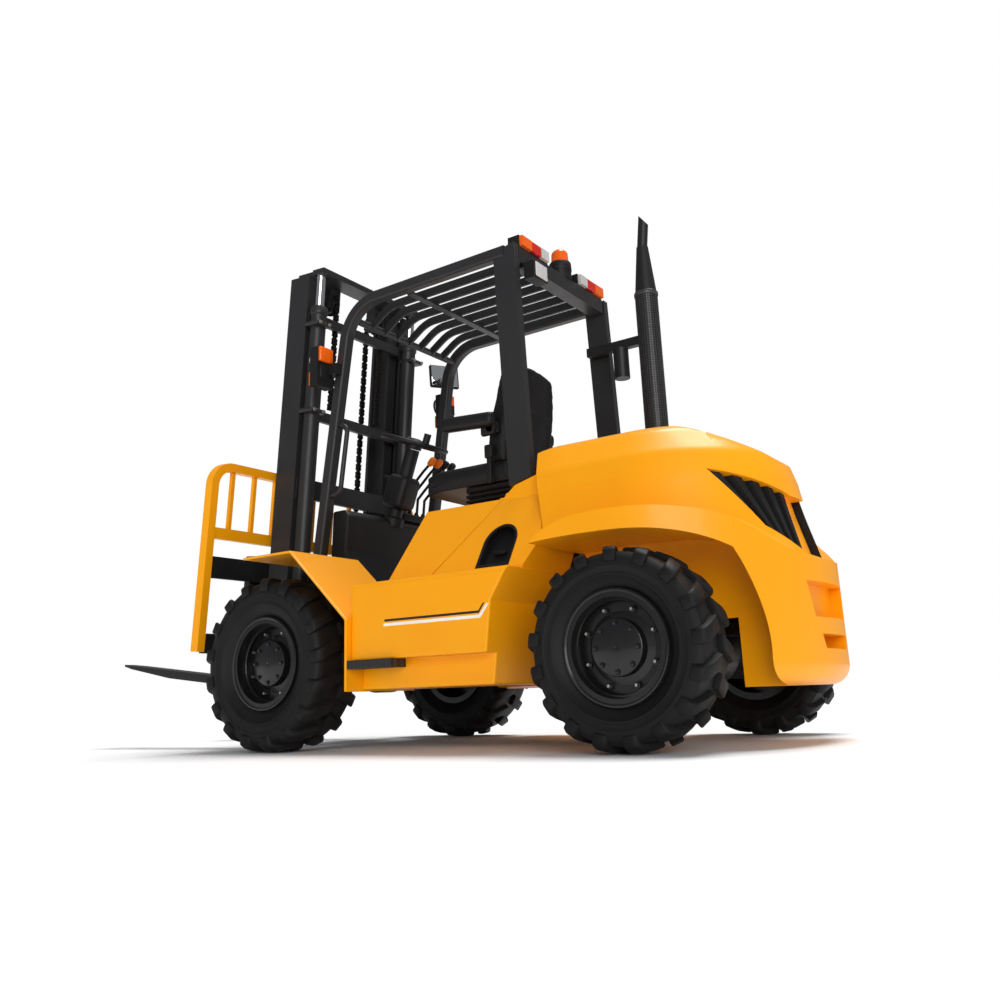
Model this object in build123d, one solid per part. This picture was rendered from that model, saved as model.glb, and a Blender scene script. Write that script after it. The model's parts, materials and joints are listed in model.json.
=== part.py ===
from build123d import *
import os
from math import cos, pi, radians, sin, tan

# A rough terrain forklift truck: two-stage mast, wide load backrest, lugged tyres, rear steering axle.
# Sizes are in millimetres. Stations run forward from the rear axle, y to the left, heights up from the
# ground. At the end everything is moved so that the origin lies under the middle of the overall length.

# Running gear
WHEELBASE = 1870
FRONT_TYRE_RADIUS = 415
FRONT_TYRE_WIDTH = 305
FRONT_TRACK_HALF = 753
REAR_TYRE_RADIUS = 388
REAR_TYRE_WIDTH = 264
REAR_TRACK_HALF = 726
LUG_COUNT = 17
LUG_HEIGHT = 26
LUG_SKEW = 24
GROOVE_HALF = 10
LUG_SHOULDER = 0.945
LUG_END = 0.83
RIM_FLANGE_RADIUS = 221
RIM_SEAT_RADIUS = 205
RIM_WALL = 16
FIT = 0.3
KINGPIN_HALF = 560
SPINDLE_RADIUS = 45
AXLE_TUBE_RADIUS = 70

# Front fenders and body sides
FENDER_HALF = 885
FENDER_PLATE = 12
FENDER_INNER = 400
FENDER_TOP = 940
FENDER_TIP = WHEELBASE + 159
FENDER_TOP_REAR = WHEELBASE - 180
FENDER_NOTCH = WHEELBASE + 85
FENDER_SLOPE_FOOT = 580
FENDER_BOTTOM = 265
FENDER_REAR = WHEELBASE - 540
FRAME_HALF = 300
FRAME_PLATE = 25
BODY_HALF = FENDER_HALF - 35
RECESS_HALF = BODY_HALF - 75
SILL_HEIGHT = 745
STEP_HEIGHT = 400
PANEL_BOTTOM = 272
FLOOR_PLATE = 12

# Engine hood and seat
HOOD_TOP = 1105
HOOD_FOOT = 760
HOOD_FOOT_HALF = BODY_HALF - 131
HOOD_TOP_HALF = HOOD_FOOT_HALF - 219
HOOD_HINGE = 690
HOOD_FRONT_FOOT = WHEELBASE - 664
HOOD_FRONT_TOP = HOOD_FRONT_FOOT - 63
HOOD_WALL = 25
HOOD_CREASE_FOOT = HOOD_HINGE + 0.504 * (HOOD_FRONT_FOOT - HOOD_HINGE)
SEAT_HALF = 250

# Counterweight, round at the rear about an upright axis
ROUND_STATION = 70
UPPER_HALF = FENDER_HALF - 195
UPPER_RADIUS = 660
LOWER_HALF = FENDER_HALF - 95
LOWER_RADIUS = 664
LOWER_REAR = ROUND_STATION - LOWER_RADIUS
LOWER_BOTTOM = 228
ARCH_INNER = 320
BAY_HALF = 300
BAY_TOP = 1180

# Overhead guard
GUARD_HALF = 491
GUARD_TUBE = 62
GUARD_TOP = 2383
GUARD_REAR_TOP = 588
GUARD_LEG_FOOT = WHEELBASE + 45
GUARD_LEG_BEND = WHEELBASE - 180
GUARD_BEND_RADIUS = 230
ROOF_BAR = 14
ROOF_BAR_DEPTH = 45
ROOF_BAR_COUNT = 7

# Mast, in its own upright frame: u forward of the tilt pin, w along the rails
MAST_PIN = (WHEELBASE + 250, 430)
MAST_TILT = 4.5
MAST_HALF = 455
MAST_EAR = 320
MAST_EAR_THICK = 30
RAIL_REAR = 80
RAIL_DEPTH = 150
RAIL_WEB = 18
RAIL_FLANGE = 20
RAIL_WIDTH = 70
RAIL_GAP = 10
INNER_OFFSET = 25
OUTER_FOOT = -160
OUTER_HEAD = 2215
INNER_FOOT = 10
INNER_HEAD = OUTER_HEAD + 60
LIFT_AT_REST = 130
LIFT_ROD_RADIUS = 28
LIFT_BARREL_RADIUS = 45
LIFT_CYLINDER_U = 30
LIFT_CYLINDER_HALF = 405
BARREL_FOOT = -120
BARREL_HEAD = OUTER_HEAD - 205
CHAIN_HALF = 200
CHAIN_WIDTH = 38
CHAIN_THICK = 24
SHEAVE_RADIUS = 62

# Carriage and forks
CARRIAGE_BAR_U = 290
CARRIAGE_BAR = 38
BACKREST_HALF = 850
BACKREST_PITCH = 155
BACKREST_BARS = 10
FORK_HALF = 440
FORK_WIDTH = 125
FORK_THICK = 45
FORK_LENGTH = 1070
FORK_TIP_THICK = 12
FORK_HEEL = 25
FORK_RISE = 2.0
FORK_UNDERSIDE = -138

# Tilt cylinders
TILT_HALF = 225
TILT_BASE = (WHEELBASE - 520, 600)
TILT_EYE = (20, 280)
TILT_BARREL_RADIUS = 42
TILT_ROD_RADIUS = 24
TILT_BARREL_LENGTH = 470
TILT_PIN_RADIUS = 20
TILT_EYE_RADIUS = 42
TILT_EYE_PLAY = 8

nodes = {}


def block(x0, x1, y0, y1, z0, z1):
    centre = Pos((x0 + x1) / 2, (y0 + y1) / 2, (z0 + z1) / 2)
    return centre * Box(x1 - x0, y1 - y0, z1 - z0)


def side_prism(points, y0, y1):
    outline = Polyline(*[(x, y0, z) for x, z in points], close=True)
    return extrude(make_face(outline.edges()), amount=y1 - y0, dir=(0, 1, 0))


def end_prism(points, x0, x1):
    outline = Polyline(*[(x0, y, z) for y, z in points], close=True)
    return extrude(make_face(outline.edges()), amount=x1 - x0, dir=(1, 0, 0))


def curved_prism(runs, y0, y1):
    # A run of two points is straight, a longer run is a smooth curve; straight lines join the runs.
    edges = []
    for run in runs:
        spots = [(x, y0, z) for x, z in run]
        edges.append(Spline(*spots) if len(run) > 2 else Line(*spots))
    ends = [(near @ 1, far @ 0) for near, far in zip(edges, edges[1:] + edges[:1])]
    joins = [Line(near, far) for near, far in ends if (far - near).length > FIT]
    return extrude(make_face(edges + joins), amount=y1 - y0, dir=(0, 1, 0))


def plan_prism(points, z0, z1):
    outline = Polyline(*[(x, y, z0) for x, y in points], close=True)
    return extrude(make_face(outline.edges()), amount=z1 - z0, dir=(0, 0, 1))


def bar(start, end, radius):
    along = Vector(*end) - Vector(*start)
    seat = Plane(origin=Vector(*start), z_dir=along)
    return seat * Cylinder(radius, along.length, align=(Align.CENTER, Align.CENTER, Align.MIN))


def spun(points, x, z):
    # A ring about a crosswise axle: points are (y, radius).
    outline = Polyline(*[(x, y, z + r) for y, r in points], close=True)
    return revolve(make_face(outline.edges()), axis=Axis((x, 0, z), (0, 1, 0)))


def other_side(shape):
    return mirror(shape, about=Plane.XZ)


def both(shape):
    return [shape, other_side(shape)]


def keep(name, *shapes):
    nodes[name] = [solid for shape in shapes for solid in shape.solids()]


def keep_pair(name, shape):
    keep(name + "_left", shape)
    keep(name + "_right", other_side(shape))


def on_mast(shape):
    return Pos(MAST_PIN[0], 0, MAST_PIN[1]) * Rot(0, -MAST_TILT, 0) * shape


def mast_point(u, y, w):
    tilt = radians(MAST_TILT)
    x = MAST_PIN[0] + u * cos(tilt) - w * sin(tilt)
    return (x, y, MAST_PIN[1] + u * sin(tilt) + w * cos(tilt))


# Wheels

def tyre(station, radius, width, track_half, bead_half):
    # Plain facets, two columns to a lug: lugs and gaps take turns, and the sides are staggered at a groove.
    pitch = 2 * pi / (2 * LUG_COUNT)
    floor = radius - LUG_HEIGHT
    drop = LUG_END * radius
    clear = 1 / cos(pitch / 2)
    base = [
        # distance from the middle, radius between the lugs, down to the bead
        (GROOVE_HALF, floor),
        (0.44 * width, floor - 16),
        (0.47 * width, drop - 8),
        (0.46 * width, 0.5 * (drop + RIM_FLANGE_RADIUS)),
        (bead_half, (RIM_FLANGE_RADIUS + FIT) * clear),
        (bead_half, RIM_SEAT_RADIUS * clear),
    ]
    lug = [
        # distance from the middle, radius over a lug
        (GROOVE_HALF, radius),
        (0.3 * width, radius - 2),
        (0.49 * width, LUG_SHOULDER * radius),
        (0.5 * width, drop),
    ]
    lug_wall = [lug[0], lug[1], lug[2], lug[3], base[2], base[1], base[0]]
    triangles = []

    def spot(half, row, column):
        lag = tan(radians(LUG_SKEW)) * (row[0] - GROOVE_HALF) / radius
        angle = pitch * column + lag - pi / 2
        return (station + row[1] * cos(angle), track_half + half * row[0], radius + row[1] * sin(angle))

    def strip(near, far):
        for a, b, c, d in zip(near, near[1:], far[1:], far):
            triangles.append((a, b, c))
            triangles.append((a, c, d))

    for column in range(2 * LUG_COUNT):
        edges = (column, column + 1)
        for half in (1, -1):
            raised = (column % 2 == 0) == (half == 1)
            rows = base[:1] + lug + base[2:] if raised else base
            strip(*[[spot(half, row, edge) for row in rows] for edge in edges])
            ring = [spot(half, row, column) for row in lug_wall]
            triangles.append((ring[0], ring[1], ring[6]))
            triangles.append((ring[1], ring[5], ring[6]))
            triangles.append((ring[1], ring[2], ring[5]))
            triangles.append((ring[2], ring[3], ring[5]))
            triangles.append((ring[3], ring[4], ring[5]))
        for row in (base[0], base[-1]):
            strip(*[[spot(half, row, edge) for half in (1, -1)] for edge in edges])
    facets = [Face(Wire.make_polygon([Vector(*corner) for corner in corners])) for corners in triangles]
    return Solid(Shell(facets))


def wheel(station, radius, track_half, bead_half, hub_back):
    seat = RIM_SEAT_RADIUS - FIT
    flange = bead_half + FIT
    face = bead_half + 12
    disc_front = track_half + 38
    disc_back = disc_front - 18
    hub_radius = 98
    cap = disc_front + 46
    barrel = spun(
        [
            (track_half - face, RIM_FLANGE_RADIUS),
            (track_half - flange, RIM_FLANGE_RADIUS),
            (track_half - flange, seat),
            (track_half + flange, seat),
            (track_half + flange, RIM_FLANGE_RADIUS),
            (track_half + face, RIM_FLANGE_RADIUS),
            (track_half + face, seat - RIM_WALL),
            (track_half - face, seat - RIM_WALL),
        ],
        station,
        radius,
    )
    disc = spun(
        [
            (disc_back, SPINDLE_RADIUS + FIT),
            (disc_back, seat - RIM_WALL + 2),
            (disc_front, seat - RIM_WALL + 2),
            (disc_front, hub_radius + 40),
            (disc_front + 10, hub_radius + 6),
            (disc_front + 10, SPINDLE_RADIUS + FIT),
        ],
        station,
        radius,
    )
    hub = spun(
        [
            (hub_back, SPINDLE_RADIUS + FIT),
            (hub_back, hub_radius),
            (cap - 14, hub_radius),
            (cap, hub_radius - 16),
            (cap, 0),
            (cap - 16, 0),
            (cap - 16, SPINDLE_RADIUS + FIT),
        ],
        station,
        radius,
    )
    return barrel + disc + hub


FRONT_BEAD_HALF = 108
REAR_BEAD_HALF = 89
FRONT_HUB_BACK = 622
REAR_HUB_BACK = 648
SPINDLE_END = 56
keep_pair(
    "front_tyre", tyre(WHEELBASE, FRONT_TYRE_RADIUS, FRONT_TYRE_WIDTH, FRONT_TRACK_HALF, FRONT_BEAD_HALF),
)
keep_pair("rear_tyre", tyre(0, REAR_TYRE_RADIUS, REAR_TYRE_WIDTH, REAR_TRACK_HALF, REAR_BEAD_HALF))
keep_pair(
    "front_wheel", wheel(WHEELBASE, FRONT_TYRE_RADIUS, FRONT_TRACK_HALF, FRONT_BEAD_HALF, FRONT_HUB_BACK),
)
keep_pair("rear_wheel", wheel(0, REAR_TYRE_RADIUS, REAR_TRACK_HALF, REAR_BEAD_HALF, REAR_HUB_BACK))

# Axles and knuckles

FRAME_LOW = 505
DIFF_RADIUS = 150
DIFF_HALF = 150


def axle_casing(station, height, half):
    tube = bar((station, -half, height), (station, half, height), AXLE_TUBE_RADIUS)
    bell = spun(
        [
            (-DIFF_HALF, 0),
            (-DIFF_HALF, 80),
            (-60, DIFF_RADIUS),
            (60, DIFF_RADIUS),
            (DIFF_HALF, 80),
            (DIFF_HALF, 0),
        ],
        station,
        height,
    )
    return tube + bell


front_axle = axle_casing(WHEELBASE, FRONT_TYRE_RADIUS, FRONT_HUB_BACK - 2)
for side in (-1, 1):
    pad = side * (FRAME_HALF - FRAME_PLATE / 2)
    front_axle += block(WHEELBASE - 90, WHEELBASE + 90, pad - 45, pad + 45, FRONT_TYRE_RADIUS, FRAME_LOW)
    drum = (FRONT_HUB_BACK - 60) * side
    front_axle += bar(
        (WHEELBASE, drum, FRONT_TYRE_RADIUS),
        (WHEELBASE, side * (FRONT_HUB_BACK - 2), FRONT_TYRE_RADIUS),
        125,
    )
    tip = side * (FRONT_TRACK_HALF + SPINDLE_END)
    front_axle += bar(
        (WHEELBASE, 0, FRONT_TYRE_RADIUS), (WHEELBASE, tip, FRONT_TYRE_RADIUS), SPINDLE_RADIUS,
    )
keep("front_axle", front_axle)

YOKE_HALF = 62
YOKE_INNER = 92
YOKE_PLATE = 26
KINGPIN_RADIUS = 24
TRUNNION_HALF = 190
rear_axle = axle_casing(0, REAR_TYRE_RADIUS, KINGPIN_HALF - 110)
for side in (-1, 1):
    yoke_back = side * (KINGPIN_HALF - 130)
    pin = side * KINGPIN_HALF
    low, high = sorted((yoke_back, side * (KINGPIN_HALF - 78)))
    rear_axle += block(
        -YOKE_HALF,
        YOKE_HALF,
        low,
        high,
        REAR_TYRE_RADIUS - YOKE_INNER - YOKE_PLATE,
        REAR_TYRE_RADIUS + YOKE_INNER + YOKE_PLATE,
    )
    for level in (-1, 1):
        z0, z1 = sorted(
            (REAR_TYRE_RADIUS + level * YOKE_INNER, REAR_TYRE_RADIUS + level * (YOKE_INNER + YOKE_PLATE))
        )
        low, high = sorted((yoke_back, pin))
        rear_axle += block(-YOKE_HALF, YOKE_HALF, low, high, z0, z1)
        rear_axle += bar((0, pin, z0), (0, pin, z1), YOKE_HALF)
    rear_axle += bar(
        (0, pin, REAR_TYRE_RADIUS - YOKE_INNER - 1),
        (0, pin, REAR_TYRE_RADIUS + YOKE_INNER + 1),
        KINGPIN_RADIUS,
    )
rear_axle += bar(
    (-TRUNNION_HALF, 0, REAR_TYRE_RADIUS + 60), (TRUNNION_HALF, 0, REAR_TYRE_RADIUS + 60), 45,
)
keep("rear_axle", rear_axle)

knuckle = bar(
    (0, KINGPIN_HALF, REAR_TYRE_RADIUS - YOKE_INNER + FIT),
    (0, KINGPIN_HALF, REAR_TYRE_RADIUS + YOKE_INNER - FIT),
    58,
)
knuckle += bar((0, KINGPIN_HALF, REAR_TYRE_RADIUS), (0, REAR_HUB_BACK - 2, REAR_TYRE_RADIUS), 84)
knuckle += bar(
    (0, KINGPIN_HALF, REAR_TYRE_RADIUS),
    (0, REAR_TRACK_HALF + SPINDLE_END, REAR_TYRE_RADIUS),
    SPINDLE_RADIUS,
)
knuckle -= bar(
    (0, KINGPIN_HALF, REAR_TYRE_RADIUS - 2 * YOKE_INNER),
    (0, KINGPIN_HALF, REAR_TYRE_RADIUS + 2 * YOKE_INNER),
    KINGPIN_RADIUS + FIT,
)
keep_pair("knuckle", knuckle)

# Frame

FRAME_TOP = 720
CRADLE_PLATE = 40
frame_side = [
    (-330, 500),
    (-330, FRAME_TOP),
    (WHEELBASE - 370, FRAME_TOP),
    (MAST_PIN[0] - 10, 640),
    (MAST_PIN[0] + 55, 500),
    (MAST_PIN[0] + 55, 375),
    (WHEELBASE + 170, 375),
    (WHEELBASE + 130, FRAME_LOW),
    (WHEELBASE - 130, FRAME_LOW),
    (WHEELBASE - 180, 330),
    (460, 330),
    (400, 500),
]
frame = side_prism(frame_side, FRAME_HALF - FRAME_PLATE, FRAME_HALF)
frame += other_side(frame)
CROSS_MEMBERS = [
    # station from, station to, height from, height to
    (-330, -300, 500, 700),
    (480, 520, 335, 470),
    (WHEELBASE - 270, WHEELBASE - 220, 345, 560),
    (WHEELBASE + 140, WHEELBASE + 180, 520, 620),
]
for x0, x1, z0, z1 in CROSS_MEMBERS:
    frame += block(x0, x1, -FRAME_HALF + FRAME_PLATE, FRAME_HALF - FRAME_PLATE, z0, z1)
for x in (-TRUNNION_HALF + 20, TRUNNION_HALF - 20):
    cradle = block(x - CRADLE_PLATE / 2, x + CRADLE_PLATE / 2, -FRAME_HALF + 1, FRAME_HALF - 1, 440, 560)
    cradle -= bar(
        (x - CRADLE_PLATE, 0, REAR_TYRE_RADIUS + 60),
        (x + CRADLE_PLATE, 0, REAR_TYRE_RADIUS + 60),
        45 + FIT,
    )
    frame += cradle
for side in (-1, 1):
    for ear in (TILT_HALF - 36, TILT_HALF + 24):
        y0, y1 = sorted((side * ear, side * (ear + 12)))
        frame += block(TILT_BASE[0] - 60, TILT_BASE[0] + 40, y0, y1, TILT_BASE[1] - 60, TILT_BASE[1] + 60)
    y0, y1 = sorted((side * (TILT_HALF - 36), side * (FRAME_HALF - FRAME_PLATE)))
    frame += block(TILT_BASE[0] - 90, TILT_BASE[0] - 60, y0, y1, TILT_BASE[1] - 60, TILT_BASE[1] + 60)
    y0, y1 = sorted((side * (TILT_HALF - 36), side * (FRAME_HALF - FRAME_PLATE)))
    frame += bar((TILT_BASE[0], y0, TILT_BASE[1]), (TILT_BASE[0], y1, TILT_BASE[1]), TILT_PIN_RADIUS)
    y0, y1 = sorted((side * (FRAME_HALF - FRAME_PLATE), side * (MAST_EAR + MAST_EAR_THICK + 4)))
    frame += bar((MAST_PIN[0], y0, MAST_PIN[1]), (MAST_PIN[0], y1, MAST_PIN[1]), 40)
keep("chassis_frame", frame)

ENGINE_BOX = (-60, 770, 250, 560, 990)
GEARBOX_BOX = (770, WHEELBASE - 390, 170, 360, 640)
powertrain = [block(x0, x1, -half, half, z0, z1) for x0, x1, half, z0, z1 in (ENGINE_BOX, GEARBOX_BOX)]
keep("powertrain", powertrain[0] + powertrain[1])

# Side tanks, steps and fenders

ARCH_FOOT = 600
ARCH_KNEE = (545, 610)
ARCH_SHOULDER = (400, 830)
TANK_FRONT = FENDER_REAR - FENDER_PLATE
STEP_DEPTH = 38
STEP_REAR = FENDER_REAR - 271


def arch_x(z):
    low = (ARCH_FOOT, 200)
    high = ARCH_KNEE if z <= ARCH_KNEE[1] else ARCH_SHOULDER
    if z > ARCH_KNEE[1]:
        low = ARCH_KNEE
    return low[0] + (high[0] - low[0]) * (z - low[1]) / (high[1] - low[1])


upper_tank = [
    (TANK_FRONT, STEP_HEIGHT),
    (arch_x(STEP_HEIGHT), STEP_HEIGHT),
    ARCH_KNEE,
    (arch_x(SILL_HEIGHT), SILL_HEIGHT),
    (TANK_FRONT, SILL_HEIGHT),
]
lower_tank = [
    (TANK_FRONT, PANEL_BOTTOM),
    (arch_x(PANEL_BOTTOM), PANEL_BOTTOM),
    (arch_x(STEP_HEIGHT), STEP_HEIGHT),
    (TANK_FRONT, STEP_HEIGHT),
]
tank = side_prism(upper_tank, FRAME_HALF, BODY_HALF)
tank_top = tank.edges().filter_by(Axis.X).filter_by_position(Axis.Z, SILL_HEIGHT - 1, SILL_HEIGHT + 1)
tank = fillet(tank_top.sort_by(Axis.Y)[-1], 25)
tank += side_prism(lower_tank, FRAME_HALF, RECESS_HALF)
keep("side_tanks", *both(tank))

step = block(STEP_REAR, TANK_FRONT, RECESS_HALF, FENDER_HALF - 5, STEP_HEIGHT - STEP_DEPTH, STEP_HEIGHT)

slope_shift = FENDER_PLATE * tan(radians(22.5))
fender_outline = [
    (FENDER_TIP, FENDER_TOP),
    (FENDER_TOP_REAR, FENDER_TOP),
    (FENDER_REAR - FENDER_PLATE, FENDER_SLOPE_FOOT + slope_shift),
    (FENDER_REAR - FENDER_PLATE, FENDER_BOTTOM),
    (FENDER_REAR, FENDER_BOTTOM),
    (FENDER_REAR, FENDER_SLOPE_FOOT),
    (FENDER_TOP_REAR + slope_shift, FENDER_TOP - FENDER_PLATE),
    (FENDER_TIP, FENDER_TOP - FENDER_PLATE),
]
fender = side_prism(fender_outline, FENDER_INNER, FENDER_HALF)
fender -= block(FENDER_NOTCH, FENDER_TIP + 1, 0, MAST_HALF + 20, FENDER_BOTTOM, FENDER_TOP + 1)
keep("front_fenders", *both(fender))

FLOOR_NARROW = FENDER_INNER - 2
FLOOR_WIDE = HOOD_FOOT_HALF - 79
FLOOR_REAR = HOOD_FRONT_FOOT + 14
TOE_FOOT = WHEELBASE - 180
floor_plan = [
    (FLOOR_REAR, -FLOOR_WIDE),
    (TANK_FRONT, -FLOOR_WIDE),
    (TANK_FRONT, -FLOOR_NARROW),
    (TOE_FOOT, -FLOOR_NARROW),
]
floor_plan += [(x, -y) for x, y in reversed(floor_plan)]
floor = plan_prism(floor_plan, SILL_HEIGHT, SILL_HEIGHT + FLOOR_PLATE)
keep("tread_plates", floor, *both(step))

# Dashboard cowl, steering column and hydraulic levers

COWL_HALF = FENDER_INNER - 2
COWL_TOP = 1225
COWL_WALL = 20
cowl_outline = [
    (TOE_FOOT, SILL_HEIGHT),
    (TOE_FOOT + 90, 1000),
    (TOE_FOOT + 70, 1190),
    (TOE_FOOT + 100, COWL_TOP),
    (TOE_FOOT + 190, COWL_TOP),
    (TOE_FOOT + 215, SILL_HEIGHT),
]
cowl_hollow = [
    (TOE_FOOT + 40, SILL_HEIGHT - 5),
    (TOE_FOOT + 112, 995),
    (TOE_FOOT + 95, 1185),
    (TOE_FOOT + 110, COWL_TOP - COWL_WALL),
    (TOE_FOOT + 172, COWL_TOP - COWL_WALL),
    (TOE_FOOT + 195, SILL_HEIGHT - 5),
]
cowl = side_prism(cowl_outline, -COWL_HALF, COWL_HALF)
cowl -= side_prism(cowl_hollow, -COWL_HALF + COWL_WALL, COWL_HALF - COWL_WALL)
keep("dash_cowl", cowl)

STEER_HUB = (WHEELBASE - 245, 1640)
STEER_FOOT = (WHEELBASE - 80, 1210)
STEER_RADIUS = 185
STEER_GRIP = 14
COLUMN_RADIUS = 38
steer_axis = (
    Vector(STEER_HUB[0], 0, STEER_HUB[1]) - Vector(STEER_FOOT[0], 0, STEER_FOOT[1])
).normalized()
column_head = Vector(STEER_HUB[0], 0, STEER_HUB[1]) - steer_axis * 34
column_foot = Vector(STEER_FOOT[0], 0, STEER_FOOT[1]) - steer_axis * 20
column = bar(column_foot, column_head, COLUMN_RADIUS)
column += bar(column_foot, (column_foot + steer_axis * 210), COLUMN_RADIUS + 20)
column -= side_prism(cowl_outline, -COWL_HALF, COWL_HALF)

steer_plane = Plane(origin=(STEER_HUB[0], 0, STEER_HUB[1]), z_dir=steer_axis)
steering_wheel = steer_plane * Torus(STEER_RADIUS, STEER_GRIP)
steering_wheel += steer_plane * Pos(0, 0, -8) * Cylinder(46, 50)
for spoke in range(3):
    spoke_arm = Pos(STEER_RADIUS / 2, 0, 0) * Box(STEER_RADIUS - 6, 24, 12)
    steering_wheel += steer_plane * Rot(0, 0, 120 * spoke + 90) * spoke_arm
steering_wheel += steer_plane * Rot(0, 0, 150) * Pos(STEER_RADIUS, 0, 38) * Cylinder(20, 56)
keep("steering_wheel", steering_wheel)

LEVER_STATION = WHEELBASE - 130
LEVER_PITCH = 62
LEVER_FIRST = -300
LEVER_COUNT = 4
LEVER_RADIUS = 8
LEVER_HEAD = (WHEELBASE - 215, 1500)
KNOB_RADIUS = 24
lever_base = block(
    LEVER_STATION + 30,
    LEVER_STATION + 120,
    LEVER_FIRST - 40,
    LEVER_FIRST + 3 * LEVER_PITCH + 40,
    COWL_TOP,
    COWL_TOP + 40,
)
levers = lever_base
for index in range(LEVER_COUNT):
    y = LEVER_FIRST + index * LEVER_PITCH
    elbow = (LEVER_STATION + 60, y, COWL_TOP + 150)
    levers += bar((LEVER_STATION + 75, y, COWL_TOP + 20), elbow, LEVER_RADIUS)
    levers += bar(elbow, (LEVER_HEAD[0], y, LEVER_HEAD[1]), LEVER_RADIUS)
    elbow_ends = [(elbow[0], y + side * LEVER_RADIUS, elbow[2]) for side in (-1, 1)]
    levers += bar(*elbow_ends, LEVER_RADIUS)
    knob_foot = (LEVER_HEAD[0], y, LEVER_HEAD[1] - KNOB_RADIUS)
    levers += bar(knob_foot, (LEVER_HEAD[0], y, LEVER_HEAD[1] + KNOB_RADIUS), KNOB_RADIUS)
keep("dash_controls", column, levers)

# Engine hood, which swings up on its rear edge and carries the seat

hood_section = [
    (-HOOD_FOOT_HALF, HOOD_FOOT),
    (-HOOD_TOP_HALF, HOOD_TOP),
    (HOOD_TOP_HALF, HOOD_TOP),
    (HOOD_FOOT_HALF, HOOD_FOOT),
]
hood_inside = [
    (-HOOD_FOOT_HALF + 1.2 * HOOD_WALL, HOOD_FOOT - 1),
    (-HOOD_TOP_HALF + 0.6 * HOOD_WALL, HOOD_TOP - HOOD_WALL),
    (HOOD_TOP_HALF - 0.6 * HOOD_WALL, HOOD_TOP - HOOD_WALL),
    (HOOD_FOOT_HALF - 1.2 * HOOD_WALL, HOOD_FOOT - 1),
]
PANEL_GAP = 6
hood_side = [
    (HOOD_HINGE + PANEL_GAP, HOOD_TOP),
    (HOOD_FRONT_TOP, HOOD_TOP),
    (HOOD_FRONT_FOOT, HOOD_FOOT),
    (HOOD_CREASE_FOOT + PANEL_GAP, HOOD_FOOT),
]
hood_core = [
    (HOOD_HINGE - 100, HOOD_TOP),
    (HOOD_FRONT_TOP - HOOD_WALL, HOOD_TOP),
    (HOOD_FRONT_FOOT - HOOD_WALL, HOOD_FOOT - 1),
    (HOOD_CREASE_FOOT - 300, HOOD_FOOT - 1),
]
hood = side_prism(hood_side, -HOOD_FOOT_HALF, HOOD_FOOT_HALF) & end_prism(
    hood_section, HOOD_HINGE, HOOD_FRONT_FOOT,
)
hollow = side_prism(hood_core, -HOOD_FOOT_HALF, HOOD_FOOT_HALF) & end_prism(
    hood_inside, HOOD_HINGE - 100, HOOD_FRONT_FOOT,
)
hood -= hollow

# The hood's two hinges: a knuckle and pin on each side panel, a ring on the hood
HINGE_RADIUS = 15
HINGE_PIN_RADIUS = 8
HINGE_STEP = 5
HINGE_AXIS = (HOOD_HINGE + PANEL_GAP / 2, HOOD_TOP + HINGE_RADIUS + HINGE_STEP)
HINGE_KNUCKLE = (400, 430)
HINGE_RING = (432, 462)


def hinge_bar(y0, y1, radius):
    return bar((HINGE_AXIS[0], y0, HINGE_AXIS[1]), (HINGE_AXIS[0], y1, HINGE_AXIS[1]), radius)


hinge_foot = block(
    HOOD_HINGE + PANEL_GAP,
    HINGE_AXIS[0] + 3 * HINGE_RADIUS,
    *HINGE_RING,
    HOOD_TOP - 1,
    HOOD_TOP + HINGE_RADIUS,
)
hinge_ring = hinge_foot + hinge_bar(*HINGE_RING, HINGE_RADIUS)
hinge_ring -= hinge_bar(*HINGE_KNUCKLE, HINGE_PIN_RADIUS) + hinge_bar(
    HINGE_RING[0] - 1, HINGE_RING[1] + 1, HINGE_PIN_RADIUS + FIT,
)
for ring in both(hinge_ring):
    hood += ring
keep("engine_hood", hood)

SEAT_REAR = HOOD_FRONT_TOP - 343
SEAT_BASE_TOP = 1255
CUSHION_TOP = 1375
CUSHION_FRONT = SEAT_REAR + 570
seat_base = block(SEAT_REAR, HOOD_FRONT_TOP - 5, -SEAT_HALF + 35, SEAT_HALF - 35, HOOD_TOP, SEAT_BASE_TOP)
keep("seat_base", seat_base)
cushion = [
    (SEAT_REAR + 30, SEAT_BASE_TOP),
    (CUSHION_FRONT - 40, SEAT_BASE_TOP),
    (CUSHION_FRONT, SEAT_BASE_TOP + 50),
    (CUSHION_FRONT - 25, CUSHION_TOP + 20),
    (SEAT_REAR + 130, CUSHION_TOP - 15),
    (SEAT_REAR + 50, CUSHION_TOP - 15),
]
keep("seat_cushion", side_prism(cushion, -SEAT_HALF, SEAT_HALF))
SEAT_BACK_TOP = 1915
seat_back = [
    (SEAT_REAR + 50, CUSHION_TOP - 14),
    (SEAT_REAR + 130, CUSHION_TOP - 14),
    (SEAT_REAR + 140, 1520),
    (SEAT_REAR + 95, 1700),
    (SEAT_REAR + 75, SEAT_BACK_TOP - 15),
    (SEAT_REAR + 40, SEAT_BACK_TOP),
    (SEAT_REAR - 5, SEAT_BACK_TOP - 20),
    (SEAT_REAR + 5, 1600),
]
seat_back = side_prism(seat_back, -SEAT_HALF + 10, SEAT_HALF - 10)
ARM_HEIGHT = 1560
armrest = block(
    SEAT_REAR + 80, SEAT_REAR + 400, SEAT_HALF + 2, SEAT_HALF + 62, ARM_HEIGHT, ARM_HEIGHT + 55,
)
armrest += block(
    SEAT_REAR + 60, SEAT_REAR + 120, SEAT_HALF - 12, SEAT_HALF + 32, ARM_HEIGHT - 30, ARM_HEIGHT + 30,
)
for arm in both(armrest):
    seat_back += arm
keep("seat_back", seat_back)

# Fixed side panels of the engine bay

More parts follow.
